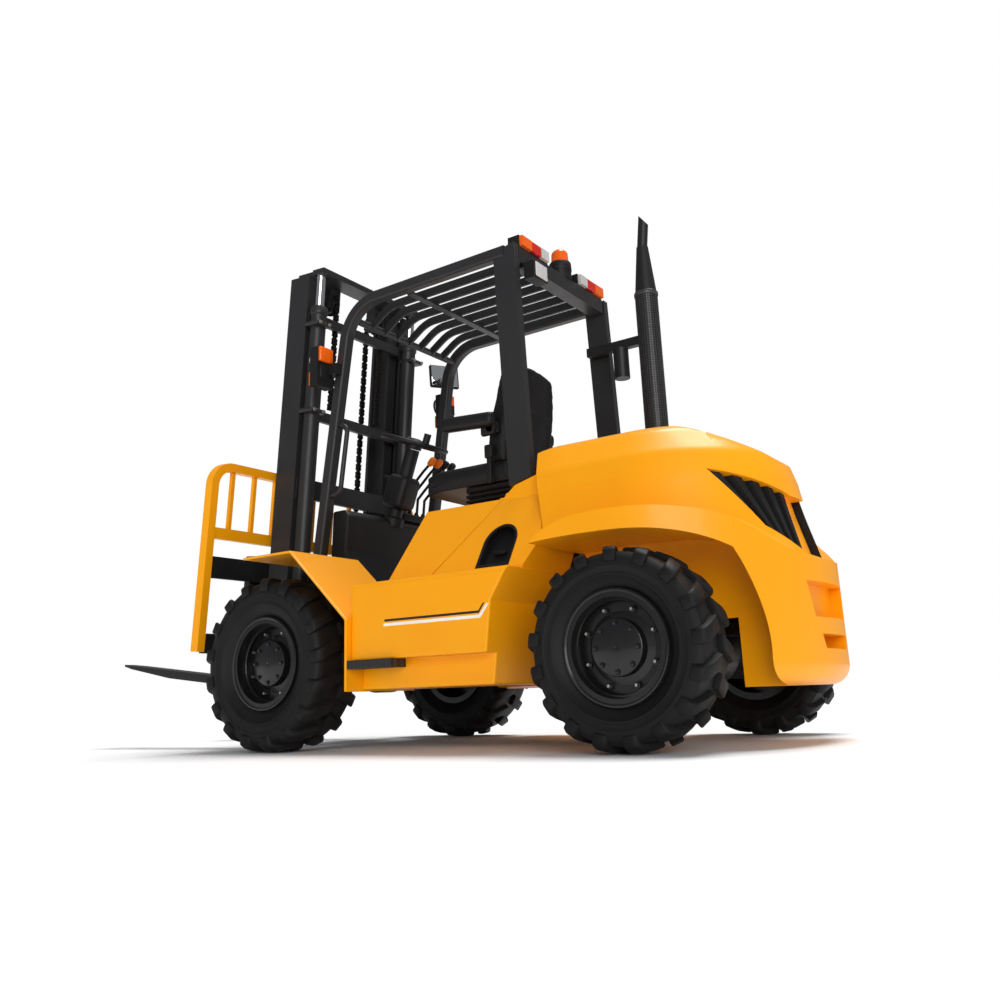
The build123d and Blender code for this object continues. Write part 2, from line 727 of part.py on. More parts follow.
SEAM_FOOT = (400, 800)
SEAM_HEAD = (490, 1200)
panel_side = [
    (HOOD_CREASE_FOOT, HOOD_FOOT),
    (HOOD_HINGE, HOOD_TOP),
    (HOOD_HINGE - 60, HOOD_TOP + 55),
    SEAM_HEAD,
    (SEAM_FOOT[0] + 15, 870),
    (arch_x(SILL_HEIGHT) + 10, SILL_HEIGHT),
    (HOOD_CREASE_FOOT, SILL_HEIGHT),
]
panel_section = [
    (BAY_HALF + 40, SILL_HEIGHT),
    (HOOD_FOOT_HALF, SILL_HEIGHT),
    (HOOD_FOOT_HALF, HOOD_FOOT),
    (HOOD_TOP_HALF + 8, HOOD_TOP - 8),
    (HOOD_TOP_HALF - 8, 1200),
    (BAY_HALF + 40, 1200),
]
panel = side_prism(panel_side, 0, BODY_HALF) & end_prism(panel_section, 0, WHEELBASE)
RECESS_WIDTH = 165
RECESS_FOOT = 770
RECESS_SPRING = 880
RECESS_STATION = 625
RECESS_DEPTH = 45
niche = block(
    RECESS_STATION - RECESS_WIDTH / 2,
    RECESS_STATION + RECESS_WIDTH / 2,
    0,
    BODY_HALF,
    RECESS_FOOT,
    RECESS_SPRING,
)
niche += bar(
    (RECESS_STATION, 0, RECESS_SPRING), (RECESS_STATION, BODY_HALF, RECESS_SPRING), RECESS_WIDTH / 2,
)
inner_section = [(y - RECESS_DEPTH, z) if y > BAY_HALF + 40 else (y - 200, z) for y, z in panel_section]
niche -= end_prism(inner_section, 0, WHEELBASE)
panel -= niche
panel -= hinge_bar(HINGE_KNUCKLE[0] - HINGE_STEP, HINGE_RING[1] + HINGE_STEP, HINGE_RADIUS + HINGE_STEP)
panel += hinge_bar(*HINGE_KNUCKLE, HINGE_RADIUS)
panel += block(
    HINGE_AXIS[0] - 3 * HINGE_RADIUS, HINGE_AXIS[0], *HINGE_KNUCKLE, HOOD_TOP + HINGE_STEP, HINGE_AXIS[1],
)
panel += hinge_bar(HINGE_KNUCKLE[0] + 1, HINGE_RING[1], HINGE_PIN_RADIUS)
keep("rear_side_panels", *both(panel))

# Counterweight: a crowned upper body over a flared lower casting, both round at the rear

SHOULDER = [
    # radius at the rear, height: the domed top and its shoulder
    (0, 1368),
    (420, 1330),
    (522, 1190),
    (550, 1097),
]
SKIRT = [
    # radius at the rear, height: the side below the shoulder
    (550, 1097),
    (585, 930),
    (635, 740),
    (UPPER_RADIUS, 600),
]
SHOULDER_BEND = 120
UPPER_FOOT = 300
CREST = [
    # station, height along the middle
    (520, 1300),
    (330, 1350),
    (100, 1357),
    (-113, 1327),
    (-289, 1262),
    (-419, 1197),
]
VISOR = [(-480, 1140), (LOWER_REAR, 1060)]
FRONT_END = 700
SIDE_SPREAD = UPPER_HALF / UPPER_RADIUS


def round_body(inset):
    top = FilletPolyline(*[(max(r - inset, 0), 0, z - inset) for r, z in SHOULDER], radius=SHOULDER_BEND)
    skirt = Spline(*[(r - inset, 0, z - inset) for r, z in SKIRT])
    foot = Polyline(skirt @ 1, (UPPER_RADIUS - inset, 0, UPPER_FOOT), (0, 0, UPPER_FOOT), top @ 0)
    half = make_face(top.edges() + [skirt] + foot.edges())
    rear = Pos(ROUND_STATION, 0, 0) * scale(revolve(half, axis=Axis.Z), by=(1, SIDE_SPREAD, 1))
    side = Rot(0, 0, 90) * half
    side = scale(side + mirror(side, about=Plane.XZ), by=(1, SIDE_SPREAD, 1))
    front = Pos(ROUND_STATION, 0, 0) * extrude(side, amount=FRONT_END - ROUND_STATION, dir=(1, 0, 0))
    return rear + front


upper_front = [
    (LOWER_REAR, UPPER_FOOT),
    (-300, UPPER_FOOT),
    (-300, 500),
    (330, 500),
    (330, 872),
    (SEAM_FOOT[0] + 9, 872),
    (SEAM_HEAD[0] - PANEL_GAP, SEAM_HEAD[1]),
]
upper_runs = [CREST, VISOR] + list(zip(upper_front[::2], upper_front[1::2])) + [(upper_front[-1], CREST[0])]
upper = round_body(0) & curved_prism(upper_runs, -LOWER_HALF, LOWER_HALF)

FLARE = [
    # station, height of the lower casting's upper edge
    (425, 790),
    (345, 865),
    (228, 911),
    (39, 926),
    (-149, 923),
    (-276, 906),
    (-382, 876),
    (-468, 813),
    (-530, 757),
]
lower_runs = [
    FLARE,
    [(LOWER_REAR, 730), (LOWER_REAR, LOWER_BOTTOM)],
    [(-300, LOWER_BOTTOM), (-300, 500)],
    [(425, 500), (425, 600)],
]
ARCH_CROWN = [
    # station, height of the arch's edge over the wheel
    ARCH_SHOULDER,
    (320, 836),
    (49, 842),
    (-192, 826),
    (-340, 782),
    (-396, 750),
]
ARCH_REAR = [
    # station, height of the arch's edge behind the wheel
    (-415, 698),
    (-441, 606),
    (-464, 480),
    (-470, 334),
]
arch_runs = [[(ARCH_FOOT, 200), ARCH_KNEE], ARCH_CROWN, ARCH_REAR, [(-470, 250), (-470, 200)]]
BOTTOM_ROUND = 85
round_rear = EllipticalCenterArc(
    (ROUND_STATION, 0), LOWER_RADIUS, LOWER_HALF, start_angle=90, arc_size=180,
)
front_edge = Polyline(round_rear @ 1, (FRONT_END, -LOWER_HALF), (FRONT_END, LOWER_HALF), round_rear @ 0)
lower = Pos(0, 0, LOWER_BOTTOM) * extrude(
    make_face([round_rear] + front_edge.edges()), amount=SHOULDER[0][1] - LOWER_BOTTOM,
)
lower = fillet(lower.faces().sort_by(Axis.Z)[0].edges(), BOTTOM_ROUND)
lower &= curved_prism(lower_runs, -LOWER_HALF, LOWER_HALF)
counterweight = upper + lower
counterweight -= block(-330, FRONT_END, -BAY_HALF, BAY_HALF, 200, BAY_TOP)
for cut in both(curved_prism(arch_runs, ARCH_INNER, FENDER_HALF + 200)):
    counterweight -= cut

WINDOW = [
    # y, height of the left rear window's corners
    (448, 1099),
    (322, 856),
    (117, 738),
    (80, 1007),
]
WINDOW_DEPTH = 90
NECK_DEPTH = 42
window = end_prism(WINDOW, LOWER_REAR - 50, 0)
neck_half = [(WINDOW[3][0] + 1, WINDOW[3][1]), (WINDOW[2][0] + 1, WINDOW[2][1])]
neck = end_prism(neck_half + [(-y, z) for y, z in reversed(neck_half)], LOWER_REAR - 50, 0)
recess = round_body(WINDOW_DEPTH)
for cut in both(window):
    counterweight -= cut - recess
counterweight -= neck - round_body(NECK_DEPTH)
REAR_POCKETS = [
    # height from, height to, half width below, half width above, depth
    (490, 632, 199, 241, 80),
    (367, 424, 141, 161, 120),
]
for low, high, half_low, half_high, depth in REAR_POCKETS:
    pocket = [(-half_low, low), (half_low, low), (half_high, high), (-half_high, high)]
    counterweight -= end_prism(pocket, LOWER_REAR - 50, LOWER_REAR + depth)
TOW_PIN_RADIUS = 16
TOW_PIN_STATION = LOWER_REAR + 75
low, high = REAR_POCKETS[1][:2]
counterweight += bar((TOW_PIN_STATION, 0, low - 1), (TOW_PIN_STATION, 0, high + 1), TOW_PIN_RADIUS)
keep("counterweight", counterweight.solids().sort_by(SortBy.VOLUME)[-1])

# Rear grilles: slanted fins on a dark backing in each window

FIN_COUNT = 5
FIN_SHARE = 0.42
FIN_INSET = 14
BACKING = 18
grille = window & round_body(WINDOW_DEPTH - BACKING)
grille -= recess
for index in range(FIN_COUNT):
    near = (index + 0.5 - FIN_SHARE / 2) / FIN_COUNT
    far = (index + 0.5 + FIN_SHARE / 2) / FIN_COUNT
    foot = [Vector(*WINDOW[1]) + (Vector(*WINDOW[2]) - Vector(*WINDOW[1])) * t for t in (near, far)]
    head = [Vector(*WINDOW[0]) + (Vector(*WINDOW[3]) - Vector(*WINDOW[0])) * t for t in (near, far)]
    fin = end_prism([(p.X, p.Y) for p in (foot[0], foot[1], head[1], head[0])], LOWER_REAR - 50, 0)
    grille += (fin & round_body(FIN_INSET)) - recess
grille = grille.solids().sort_by(SortBy.VOLUME)[-1]
keep("rear_grille", *both(grille))

# Overhead guard

leg_y = GUARD_HALF - GUARD_TUBE / 2
rail_z = GUARD_TOP - GUARD_TUBE / 2
leg_path = FilletPolyline(
    (GUARD_LEG_FOOT, leg_y, FENDER_TOP),
    (GUARD_LEG_BEND, leg_y, rail_z),
    (GUARD_REAR_TOP + 60, leg_y, rail_z),
    radius=GUARD_BEND_RADIUS,
)
leg_section = Plane(
    origin=leg_path @ 0, z_dir=leg_path % 0,
) * RectangleRounded(GUARD_TUBE, GUARD_TUBE, 14)
guard_side = sweep(leg_section, path=leg_path)
PILLAR_THICK = 44
pillar = [(GUARD_REAR_TOP, GUARD_TOP), (710, GUARD_TOP - 34), (668, 1165), (548, 1195)]
guard_side += side_prism(pillar, GUARD_HALF - PILLAR_THICK - 5, GUARD_HALF - 5)
guard_side -= panel
guard_side -= fender
keep_pair("guard_side", guard_side)

inner = GUARD_HALF - GUARD_TUBE
BEAM_DEPTH = 84
beam = block(
    GUARD_REAR_TOP + 4, GUARD_REAR_TOP + 84, -inner, inner, GUARD_TOP - BEAM_DEPTH, GUARD_TOP - 3,
)
roof = beam
FRONT_BAR = (GUARD_LEG_BEND - 28, GUARD_TOP - 121)
roof += bar((FRONT_BAR[0], -inner, FRONT_BAR[1]), (FRONT_BAR[0], inner, FRONT_BAR[1]), 19)
CROSS_BAR = GUARD_LEG_BEND - 400
roof += block(CROSS_BAR - 20, CROSS_BAR + 20, -inner, inner, GUARD_TOP - 62, GUARD_TOP - 50)
bar_path = FilletPolyline(
    (GUARD_REAR_TOP + 60, 0, GUARD_TOP - 30),
    (GUARD_LEG_BEND - 170, 0, GUARD_TOP - 30),
    (FRONT_BAR[0], 0, FRONT_BAR[1]),
    radius=200,
)
bar_section = Plane(origin=bar_path @ 0, z_dir=bar_path % 0) * Rectangle(ROOF_BAR_DEPTH, ROOF_BAR)
roof_bar = sweep(bar_section, path=bar_path)
for index in range(ROOF_BAR_COUNT):
    y = (index - (ROOF_BAR_COUNT - 1) / 2) * 2 * inner / (ROOF_BAR_COUNT + 1)
    roof += Pos(0, y, 0) * roof_bar
keep("guard_roof", roof)

# Lamps, beacon, mirror and handle


def leg_x(z):
    return GUARD_LEG_FOOT + (GUARD_LEG_BEND - GUARD_LEG_FOOT) * (z - FENDER_TOP) / (rail_z - FENDER_TOP)


LAMP_HEIGHT = GUARD_TOP - 393
LAMP_BACK = leg_x(LAMP_HEIGHT) + 47
LAMP_INNER = GUARD_HALF + 2
LAMP_WIDTH = 120
lamp_housing = block(
    LAMP_BACK, LAMP_BACK + 55, LAMP_INNER, LAMP_INNER + LAMP_WIDTH, LAMP_HEIGHT - 110, LAMP_HEIGHT + 110,
)
lamp_housing += block(
    LAMP_BACK - 65, LAMP_BACK + 5, GUARD_HALF - 2, GUARD_HALF + 42, LAMP_HEIGHT - 40, LAMP_HEIGHT + 20,
)
lamp_housing -= guard_side
LAMP_FACE = LAMP_BACK + 55
lamp_y = LAMP_INNER + LAMP_WIDTH / 2
headlamp = bar((LAMP_FACE, lamp_y, LAMP_HEIGHT + 45), (LAMP_FACE + 18, lamp_y, LAMP_HEIGHT + 45), 52)
signal = block(LAMP_FACE, LAMP_FACE + 16, lamp_y - 50, lamp_y + 50, LAMP_HEIGHT - 100, LAMP_HEIGHT - 25)

REAR_LAMPS = [
    # name, y from, y to
    ("amber", 330, 420),
    ("red", 240, 328),
    ("clear", 165, 238),
]
rear_box = block(GUARD_REAR_TOP + 4, GUARD_REAR_TOP + 70, 155, 425, GUARD_TOP - 3, GUARD_TOP + 62)
rear_glass = {}
for name, y0, y1 in REAR_LAMPS:
    rear_glass[name] = block(
        GUARD_REAR_TOP - 14, GUARD_REAR_TOP + 4, y0, y1, GUARD_TOP + 2, GUARD_TOP + 57,
    )

BEACON = (640, -60)
beacon_base = bar((BEACON[0], BEACON[1], GUARD_TOP - 3), (BEACON[0], BEACON[1], GUARD_TOP + 52), 58)
beacon = Pos(BEACON[0], BEACON[1], GUARD_TOP + 52 + 50) * Cone(52, 44, 100)

work_lamp = block(GUARD_REAR_TOP - 80, GUARD_REAR_TOP - 20, 310, 430, GUARD_TOP - 190, GUARD_TOP - 100)
work_lamp += block(
    GUARD_REAR_TOP - 50, GUARD_REAR_TOP + 30, 350, 390, GUARD_TOP - 102, GUARD_TOP - BEAM_DEPTH,
)
keep("lamp_housings", *both(lamp_housing), *both(rear_box), beacon_base, work_lamp)
keep("amber_lenses", *both(signal), *both(rear_glass["amber"]), beacon)
keep("clear_lenses", *both(headlamp), *both(rear_glass["clear"]))
keep("red_lenses", *both(rear_glass["red"]))

MIRROR = (GUARD_LEG_BEND + 110, -GUARD_HALF - 69, GUARD_TOP - 143)
mirror_foot = GUARD_TOP - 303
mirror_arm = bar((leg_x(mirror_foot) + 12, -GUARD_HALF + 4, mirror_foot), MIRROR, 9)
mirror_arm += Pos(*MIRROR) * Rot(0, 8, 0) * Box(28, 150, 200)
mirror_arm -= other_side(guard_side)
keep("mirror", mirror_arm)

HANDLE_FOOT = 1290
HANDLE_HEAD = 1685
HANDLE_GAP = 95
handle_path = FilletPolyline(
    (leg_x(HANDLE_FOOT) - 7, leg_y, HANDLE_FOOT),
    (leg_x(HANDLE_FOOT) - HANDLE_GAP, leg_y, HANDLE_FOOT + 15),
    (leg_x(HANDLE_HEAD) - HANDLE_GAP + 10, leg_y, HANDLE_HEAD - 25),
    (leg_x(HANDLE_HEAD) - 3, leg_y, HANDLE_HEAD),
    radius=45,
)
handle = sweep(Plane(origin=handle_path @ 0, z_dir=handle_path % 0) * Circle(13), path=handle_path)
nodes["guard_side_left"] = (guard_side + handle).solids()

# Exhaust stack beside the right rear pillar

STACK = (303, -392)
STACK_FOOT = 1250
SLEEVE_TOP = GUARD_TOP - 53
NECK_TOP = SLEEVE_TOP + 270
STACK_TOP = NECK_TOP + 200
SLEEVE_RADIUS = 58
PIPE_RADIUS = 28
PIPE_WALL = 4
stack_axis = Pos(STACK[0], STACK[1], 0)
upright = (Align.CENTER, Align.CENTER, Align.MIN)
sleeve = stack_axis * Pos(0, 0, STACK_FOOT) * Cylinder(
    SLEEVE_RADIUS, SLEEVE_TOP - STACK_FOOT, align=upright,
)
neck_cone = stack_axis * Pos(0, 0, SLEEVE_TOP) * Cone(
    SLEEVE_RADIUS, PIPE_RADIUS + PIPE_WALL, NECK_TOP - SLEEVE_TOP, align=upright,
)
TAIL_LEAN = 7
TAIL_ROOT = 40


def tail_bar(foot, head, radius):
    lean = tan(radians(TAIL_LEAN))
    start = (STACK[0] - foot * lean, STACK[1], NECK_TOP + foot)
    end = (STACK[0] - head * lean, STACK[1], NECK_TOP + head)
    return bar(start, end, radius)


TAIL_LENGTH = STACK_TOP - NECK_TOP
SCARF_RISE = 110
SCARF_RUN = 80
scarf_front = STACK[0] + 10
scarf = [
    (scarf_front, STACK_TOP),
    (scarf_front - SCARF_RUN, STACK_TOP - SCARF_RISE),
    (scarf_front - 2 * SCARF_RUN, STACK_TOP - SCARF_RISE),
    (scarf_front - 2 * SCARF_RUN, STACK_TOP + SCARF_RISE),
    (scarf_front, STACK_TOP + SCARF_RISE),
]
tail = tail_bar(-TAIL_ROOT, TAIL_LENGTH + TAIL_ROOT, PIPE_RADIUS)
tail -= side_prism(scarf, STACK[1] - 2 * PIPE_RADIUS, STACK[1] + 2 * PIPE_RADIUS)
tail_bore = tail_bar(TAIL_ROOT, TAIL_LENGTH + 2 * TAIL_ROOT, PIPE_RADIUS - PIPE_WALL)
stack = sleeve + neck_cone + tail - tail_bore - counterweight
keep("exhaust_stack", stack.solids().sort_by(SortBy.VOLUME)[-1])
CLAMP_HEIGHT = GUARD_TOP - 318
bracket = block(
    STACK[0] + SLEEVE_RADIUS - 4, 620, STACK[1] - 20, STACK[1] + 20, CLAMP_HEIGHT - 25, CLAMP_HEIGHT + 25,
)
bracket += block(592, 680, -GUARD_HALF + 5, STACK[1] + 20, CLAMP_HEIGHT - 25, CLAMP_HEIGHT + 25)
bracket += Pos(480, STACK[1], CLAMP_HEIGHT - 105) * Cylinder(42, 170)
bracket -= sleeve
bracket -= other_side(guard_side)
keep("stack_bracket", bracket.solids().sort_by(SortBy.VOLUME)[-1])

# Mast: outer rails

inner_rear = RAIL_REAR + INNER_OFFSET
inner_web = MAST_HALF - RAIL_WIDTH - RAIL_GAP
SHEAVE_U = inner_rear + 52
CHAIN_INNER = SHEAVE_RADIUS - 14 + FIT
CHAIN_OUTER = CHAIN_INNER + CHAIN_THICK
CHAIN_FOOT = 330
CHAIN_ANCHOR = 0.641 * OUTER_HEAD


def rail(u_rear, y_web, foot, head):
    web = block(u_rear, u_rear + RAIL_DEPTH, y_web - RAIL_WEB, y_web, foot, head)
    rear = block(u_rear, u_rear + RAIL_FLANGE, y_web - RAIL_WIDTH, y_web, foot, head)
    front = block(
        u_rear + RAIL_DEPTH - RAIL_FLANGE, u_rear + RAIL_DEPTH, y_web - RAIL_WIDTH, y_web, foot, head,
    )
    return web + rear + front


outer = rail(RAIL_REAR, MAST_HALF, OUTER_FOOT, OUTER_HEAD)
BACK_PLATE = (RAIL_REAR - 4, RAIL_REAR + 6)
MAST_FOOT_PLATE = [(-52, -60), (-52, 60), (BACK_PLATE[0] + 1, 200), (BACK_PLATE[0] + 1, OUTER_FOOT + 10)]
foot_plate = side_prism(MAST_FOOT_PLATE, MAST_EAR, MAST_EAR + MAST_EAR_THICK)
foot_plate -= bar((0, 0, 0), (0, MAST_HALF, 0), 40 + FIT)
outer += foot_plate
outer += other_side(outer)
TIES = [
    # w from, w to
    (0.406 * OUTER_HEAD, 0.456 * OUTER_HEAD),
    (CHAIN_ANCHOR - 60, CHAIN_ANCHOR),
    (OUTER_HEAD - 280, OUTER_HEAD - 225),
]
tie_half = MAST_HALF - RAIL_WEB
tie_middle = LIFT_CYLINDER_HALF - LIFT_BARREL_RADIUS - 25
for w0, w1 in TIES:
    outer += block(BACK_PLATE[0], RAIL_REAR + 2, -tie_half, tie_half, w0, w1)
    outer += block(RAIL_REAR - 28, RAIL_REAR + 2, -tie_middle, tie_middle, w0, w1)
outer += block(-18, BACK_PLATE[1], -tie_half, tie_half, OUTER_FOOT + 10, BARREL_FOOT - 5)
outer += block(*BACK_PLATE, -tie_half, tie_half, OUTER_FOOT + 10, TILT_EYE[1] + 90)
for side in (-1, 1):
    y0, y1 = sorted((side * (CHAIN_HALF - CHAIN_WIDTH / 2), side * (CHAIN_HALF + CHAIN_WIDTH / 2)))
    outer += block(RAIL_REAR - 28, SHEAVE_U - CHAIN_INNER - 5, y0, y1, CHAIN_ANCHOR - 40, CHAIN_ANCHOR)
    for ear in (TILT_HALF - 50, TILT_HALF + 30):
        y0, y1 = sorted((side * ear, side * (ear + 20)))
        lug = side_prism(
            [
                (TILT_EYE[0] - 45, TILT_EYE[1] - 45),
                (TILT_EYE[0] - 45, TILT_EYE[1] + 45),
                (RAIL_REAR, TILT_EYE[1] + 70),
                (RAIL_REAR, TILT_EYE[1] - 70),
            ],
            y0,
            y1,
        )
        outer += lug
    y0, y1 = sorted((side * (TILT_HALF - 50), side * (TILT_HALF + 50)))
    outer += bar((TILT_EYE[0], y0, TILT_EYE[1]), (TILT_EYE[0], y1, TILT_EYE[1]), TILT_PIN_RADIUS)
keep("outer_mast", on_mast(outer))

barrel = bar(
    (LIFT_CYLINDER_U, LIFT_CYLINDER_HALF, BARREL_FOOT - 4.7),
    (LIFT_CYLINDER_U, LIFT_CYLINDER_HALF, BARREL_HEAD),
    LIFT_BARREL_RADIUS,
)
barrel -= bar(
    (LIFT_CYLINDER_U, LIFT_CYLINDER_HALF, BARREL_FOOT + 20),
    (LIFT_CYLINDER_U, LIFT_CYLINDER_HALF, BARREL_HEAD + 1),
    LIFT_ROD_RADIUS + FIT,
)
keep("lift_barrels", *[on_mast(shape) for shape in both(barrel)])

# Mast: inner rails, rods, sheaves and chains

inner = rail(inner_rear, inner_web, INNER_FOOT, INNER_HEAD)
ROLLER_RADIUS = RAIL_DEPTH / 2 - RAIL_FLANGE - FIT
INNER_ROLLER_W = INNER_FOOT + 90
inner += bar(
    (RAIL_REAR + RAIL_DEPTH / 2, inner_web - 2, INNER_ROLLER_W),
    (RAIL_REAR + RAIL_DEPTH / 2, MAST_HALF - RAIL_WEB - FIT, INNER_ROLLER_W),
    ROLLER_RADIUS,
)
inner += other_side(inner)
CROSSHEAD = (INNER_HEAD - 62, INNER_HEAD)
ROD_HEAD = CROSSHEAD[0]
inner += block(inner_rear - 14, inner_rear + 10, -inner_web, inner_web, *CROSSHEAD)
rod_bar_half = LIFT_CYLINDER_HALF + 34
inner += block(-20, RAIL_REAR - 10, -rod_bar_half, rod_bar_half, CROSSHEAD[0], CROSSHEAD[0] + 34)
link_half = MAST_HALF - RAIL_WIDTH - 40
inner += block(0, inner_rear, -link_half, link_half, CROSSHEAD[0], CROSSHEAD[0] + 34)
inner += block(inner_rear + 8, inner_rear + 17, -inner_web, inner_web, INNER_FOOT + 160, INNER_FOOT + 240)

lift_rod = bar(
    (LIFT_CYLINDER_U, LIFT_CYLINDER_HALF, BARREL_FOOT + 20 + LIFT_AT_REST + 12),
    (LIFT_CYLINDER_U, LIFT_CYLINDER_HALF, ROD_HEAD),
    LIFT_ROD_RADIUS,
)
keep("lift_rods", *[on_mast(shape) for shape in both(lift_rod)])

SHEAVE_W = CROSSHEAD[0] - 90
sheave = bar((SHEAVE_U, CHAIN_HALF - 26, SHEAVE_W), (SHEAVE_U, CHAIN_HALF + 26, SHEAVE_W), SHEAVE_RADIUS)
sheave -= bar(
    (SHEAVE_U, CHAIN_HALF - 20, SHEAVE_W), (SHEAVE_U, CHAIN_HALF + 20, SHEAVE_W), SHEAVE_RADIUS + 1,
) - bar(
    (SHEAVE_U, CHAIN_HALF - 20, SHEAVE_W), (SHEAVE_U, CHAIN_HALF + 20, SHEAVE_W), SHEAVE_RADIUS - 14
)
for ear in (CHAIN_HALF - 44, CHAIN_HALF + 30):
    sheave += block(inner_rear + 10, SHEAVE_U + 28, ear, ear + 14, SHEAVE_W - 30, CROSSHEAD[1])
sheave += bar((SHEAVE_U, CHAIN_HALF - 44, SHEAVE_W), (SHEAVE_U, CHAIN_HALF + 44, SHEAVE_W), 16)
keep("inner_mast", *[on_mast(shape) for shape in (inner, sheave, other_side(sheave))])


def chain_run(u0, u1, w0, w1):
    return block(u0, u1, CHAIN_HALF - CHAIN_WIDTH / 2, CHAIN_HALF + CHAIN_WIDTH / 2, w0, w1)


wrap = bar(
    (SHEAVE_U, CHAIN_HALF - CHAIN_WIDTH / 2, SHEAVE_W),
    (SHEAVE_U, CHAIN_HALF + CHAIN_WIDTH / 2, SHEAVE_W),
    CHAIN_OUTER,
)
wrap -= bar(
    (SHEAVE_U, CHAIN_HALF - CHAIN_WIDTH, SHEAVE_W),
    (SHEAVE_U, CHAIN_HALF + CHAIN_WIDTH, SHEAVE_W),
    CHAIN_INNER,
)
wrap &= block(SHEAVE_U - 200, SHEAVE_U + 200, 0, 2 * CHAIN_HALF, SHEAVE_W, SHEAVE_W + 200)
chain_front = chain_run(SHEAVE_U + CHAIN_INNER, SHEAVE_U + CHAIN_OUTER, CHAIN_FOOT, SHEAVE_W) + wrap
keep("load_chains", *[on_mast(shape) for shape in both(chain_front)])
chain_back = chain_run(SHEAVE_U - CHAIN_OUTER, SHEAVE_U - CHAIN_INNER, CHAIN_ANCHOR, SHEAVE_W - FIT)
keep("anchor_chains", *[on_mast(shape) for shape in both(chain_back)])

# Carriage, load backrest and forks

bar_rear = CARRIAGE_BAR_U
bar_front = CARRIAGE_BAR_U + CARRIAGE_BAR
LOWER_BAR = (37, 140)
UPPER_BAR = (430, 545)
SHANK_HEAD = 600
PLATE_HALF = 262
POST = 46
bar_half = BACKREST_HALF - POST
carriage = block(bar_rear, bar_front, -bar_half, bar_half, *UPPER_BAR)
carriage += block(bar_rear, bar_front, -bar_half, bar_half, *LOWER_BAR)
CARRIAGE_ROLLERS = (200, 540)
for side in (-1, 1):
    y0, y1 = sorted((side * PLATE_HALF, side * (PLATE_HALF - 30)))
    carriage += block(inner_rear + 30, bar_rear, y0, y1, LOWER_BAR[0], SHANK_HEAD)
    for w in CARRIAGE_ROLLERS:
        y0, y1 = sorted((side * (PLATE_HALF - 10), side * (inner_web - RAIL_WEB - FIT)))
        carriage += bar(
            (inner_rear + RAIL_DEPTH / 2, y0, w), (inner_rear + RAIL_DEPTH / 2, y1, w), ROLLER_RADIUS,
        )
    for ear in (CHAIN_HALF - 40, CHAIN_HALF + 26):
        y0, y1 = sorted((side * ear, side * (ear + 14)))
        carriage += block(SHEAVE_U + CHAIN_INNER - 10, bar_rear, y0, y1, CHAIN_FOOT - 20, CHAIN_FOOT + 60)
    y0, y1 = sorted((side * (CHAIN_HALF - 40), side * (PLATE_HALF - 5)))
    carriage += block(bar_rear - 30, bar_rear + 6, y0, y1, CHAIN_FOOT - 20, UPPER_BAR[0] + 20)
keep("fork_carriage", on_mast(carriage))

BACKREST_FOOT = 45
BACKREST_HEAD = 1060
RAIL_LOW = (640, 700)
HOOP_DEPTH = 54
HOOP_BEND = 110
hoop_u = bar_rear - 6 + HOOP_DEPTH / 2
hoop_half = BACKREST_HALF - POST / 2
hoop_path = FilletPolyline(
    (hoop_u, -hoop_half, BACKREST_FOOT),
    (hoop_u, -hoop_half, BACKREST_HEAD - POST / 2),
    (hoop_u, hoop_half, BACKREST_HEAD - POST / 2),
    (hoop_u, hoop_half, BACKREST_FOOT),
    radius=HOOP_BEND,
)
hoop_section = Plane(origin=hoop_path @ 0, x_dir=(1, 0, 0), z_dir=(0, 0, 1)) * Rectangle(HOOP_DEPTH, POST)
backrest = sweep(hoop_section, path=hoop_path)
backrest += block(bar_rear, bar_front, -hoop_half, hoop_half, *RAIL_LOW)
for index in range(BACKREST_BARS):
    y = (index - (BACKREST_BARS - 1) / 2) * BACKREST_PITCH
    backrest += block(bar_rear + 8, bar_front - 8, y - 11, y + 11, RAIL_LOW[0], BACKREST_HEAD - POST + 5)
keep("load_backrest", on_mast(backrest))

fork_rear = bar_front + FIT
fork_front = fork_rear + FORK_THICK
rise = tan(radians(FORK_RISE))
heel = FORK_UNDERSIDE
fork = [
    (fork_rear, heel + 40),
    (fork_rear + 40, heel),
    (fork_front + 0.55 * FORK_LENGTH, heel + 0.55 * FORK_LENGTH * rise),
    (fork_front + FORK_LENGTH, heel + FORK_LENGTH * rise + FORK_THICK - FORK_TIP_THICK),
    (fork_front + FORK_LENGTH, heel + FORK_LENGTH * rise + FORK_THICK),
    (fork_front + FORK_HEEL, heel + FORK_THICK + FORK_HEEL * rise),
    (fork_front, heel + FORK_THICK + FORK_HEEL),
    (fork_front, UPPER_BAR[1] + 30),
    (fork_rear - CARRIAGE_BAR - 2, UPPER_BAR[1] + 30),
    (fork_rear - CARRIAGE_BAR - 2, UPPER_BAR[1] + FIT),
    (fork_rear, UPPER_BAR[1] + FIT),
]
fork_solid = side_prism(fork, FORK_HALF - FORK_WIDTH / 2, FORK_HALF + FORK_WIDTH / 2)
tip_cut = plan_prism(
    [
        (fork_front + FORK_LENGTH - 110, FORK_HALF - FORK_WIDTH / 2 - 1),
        (fork_front + FORK_LENGTH + 1, FORK_HALF - FORK_WIDTH / 2 - 1),
        (fork_front + FORK_LENGTH + 1, FORK_HALF - 34),
    ],
    -400,
    400,
)
fork_solid -= tip_cut
fork_solid -= mirror(tip_cut, about=Plane(origin=(0, FORK_HALF, 0), z_dir=(0, 1, 0)))
keep("forks", *[on_mast(shape) for shape in both(fork_solid)])

# Tilt cylinders between frame and mast

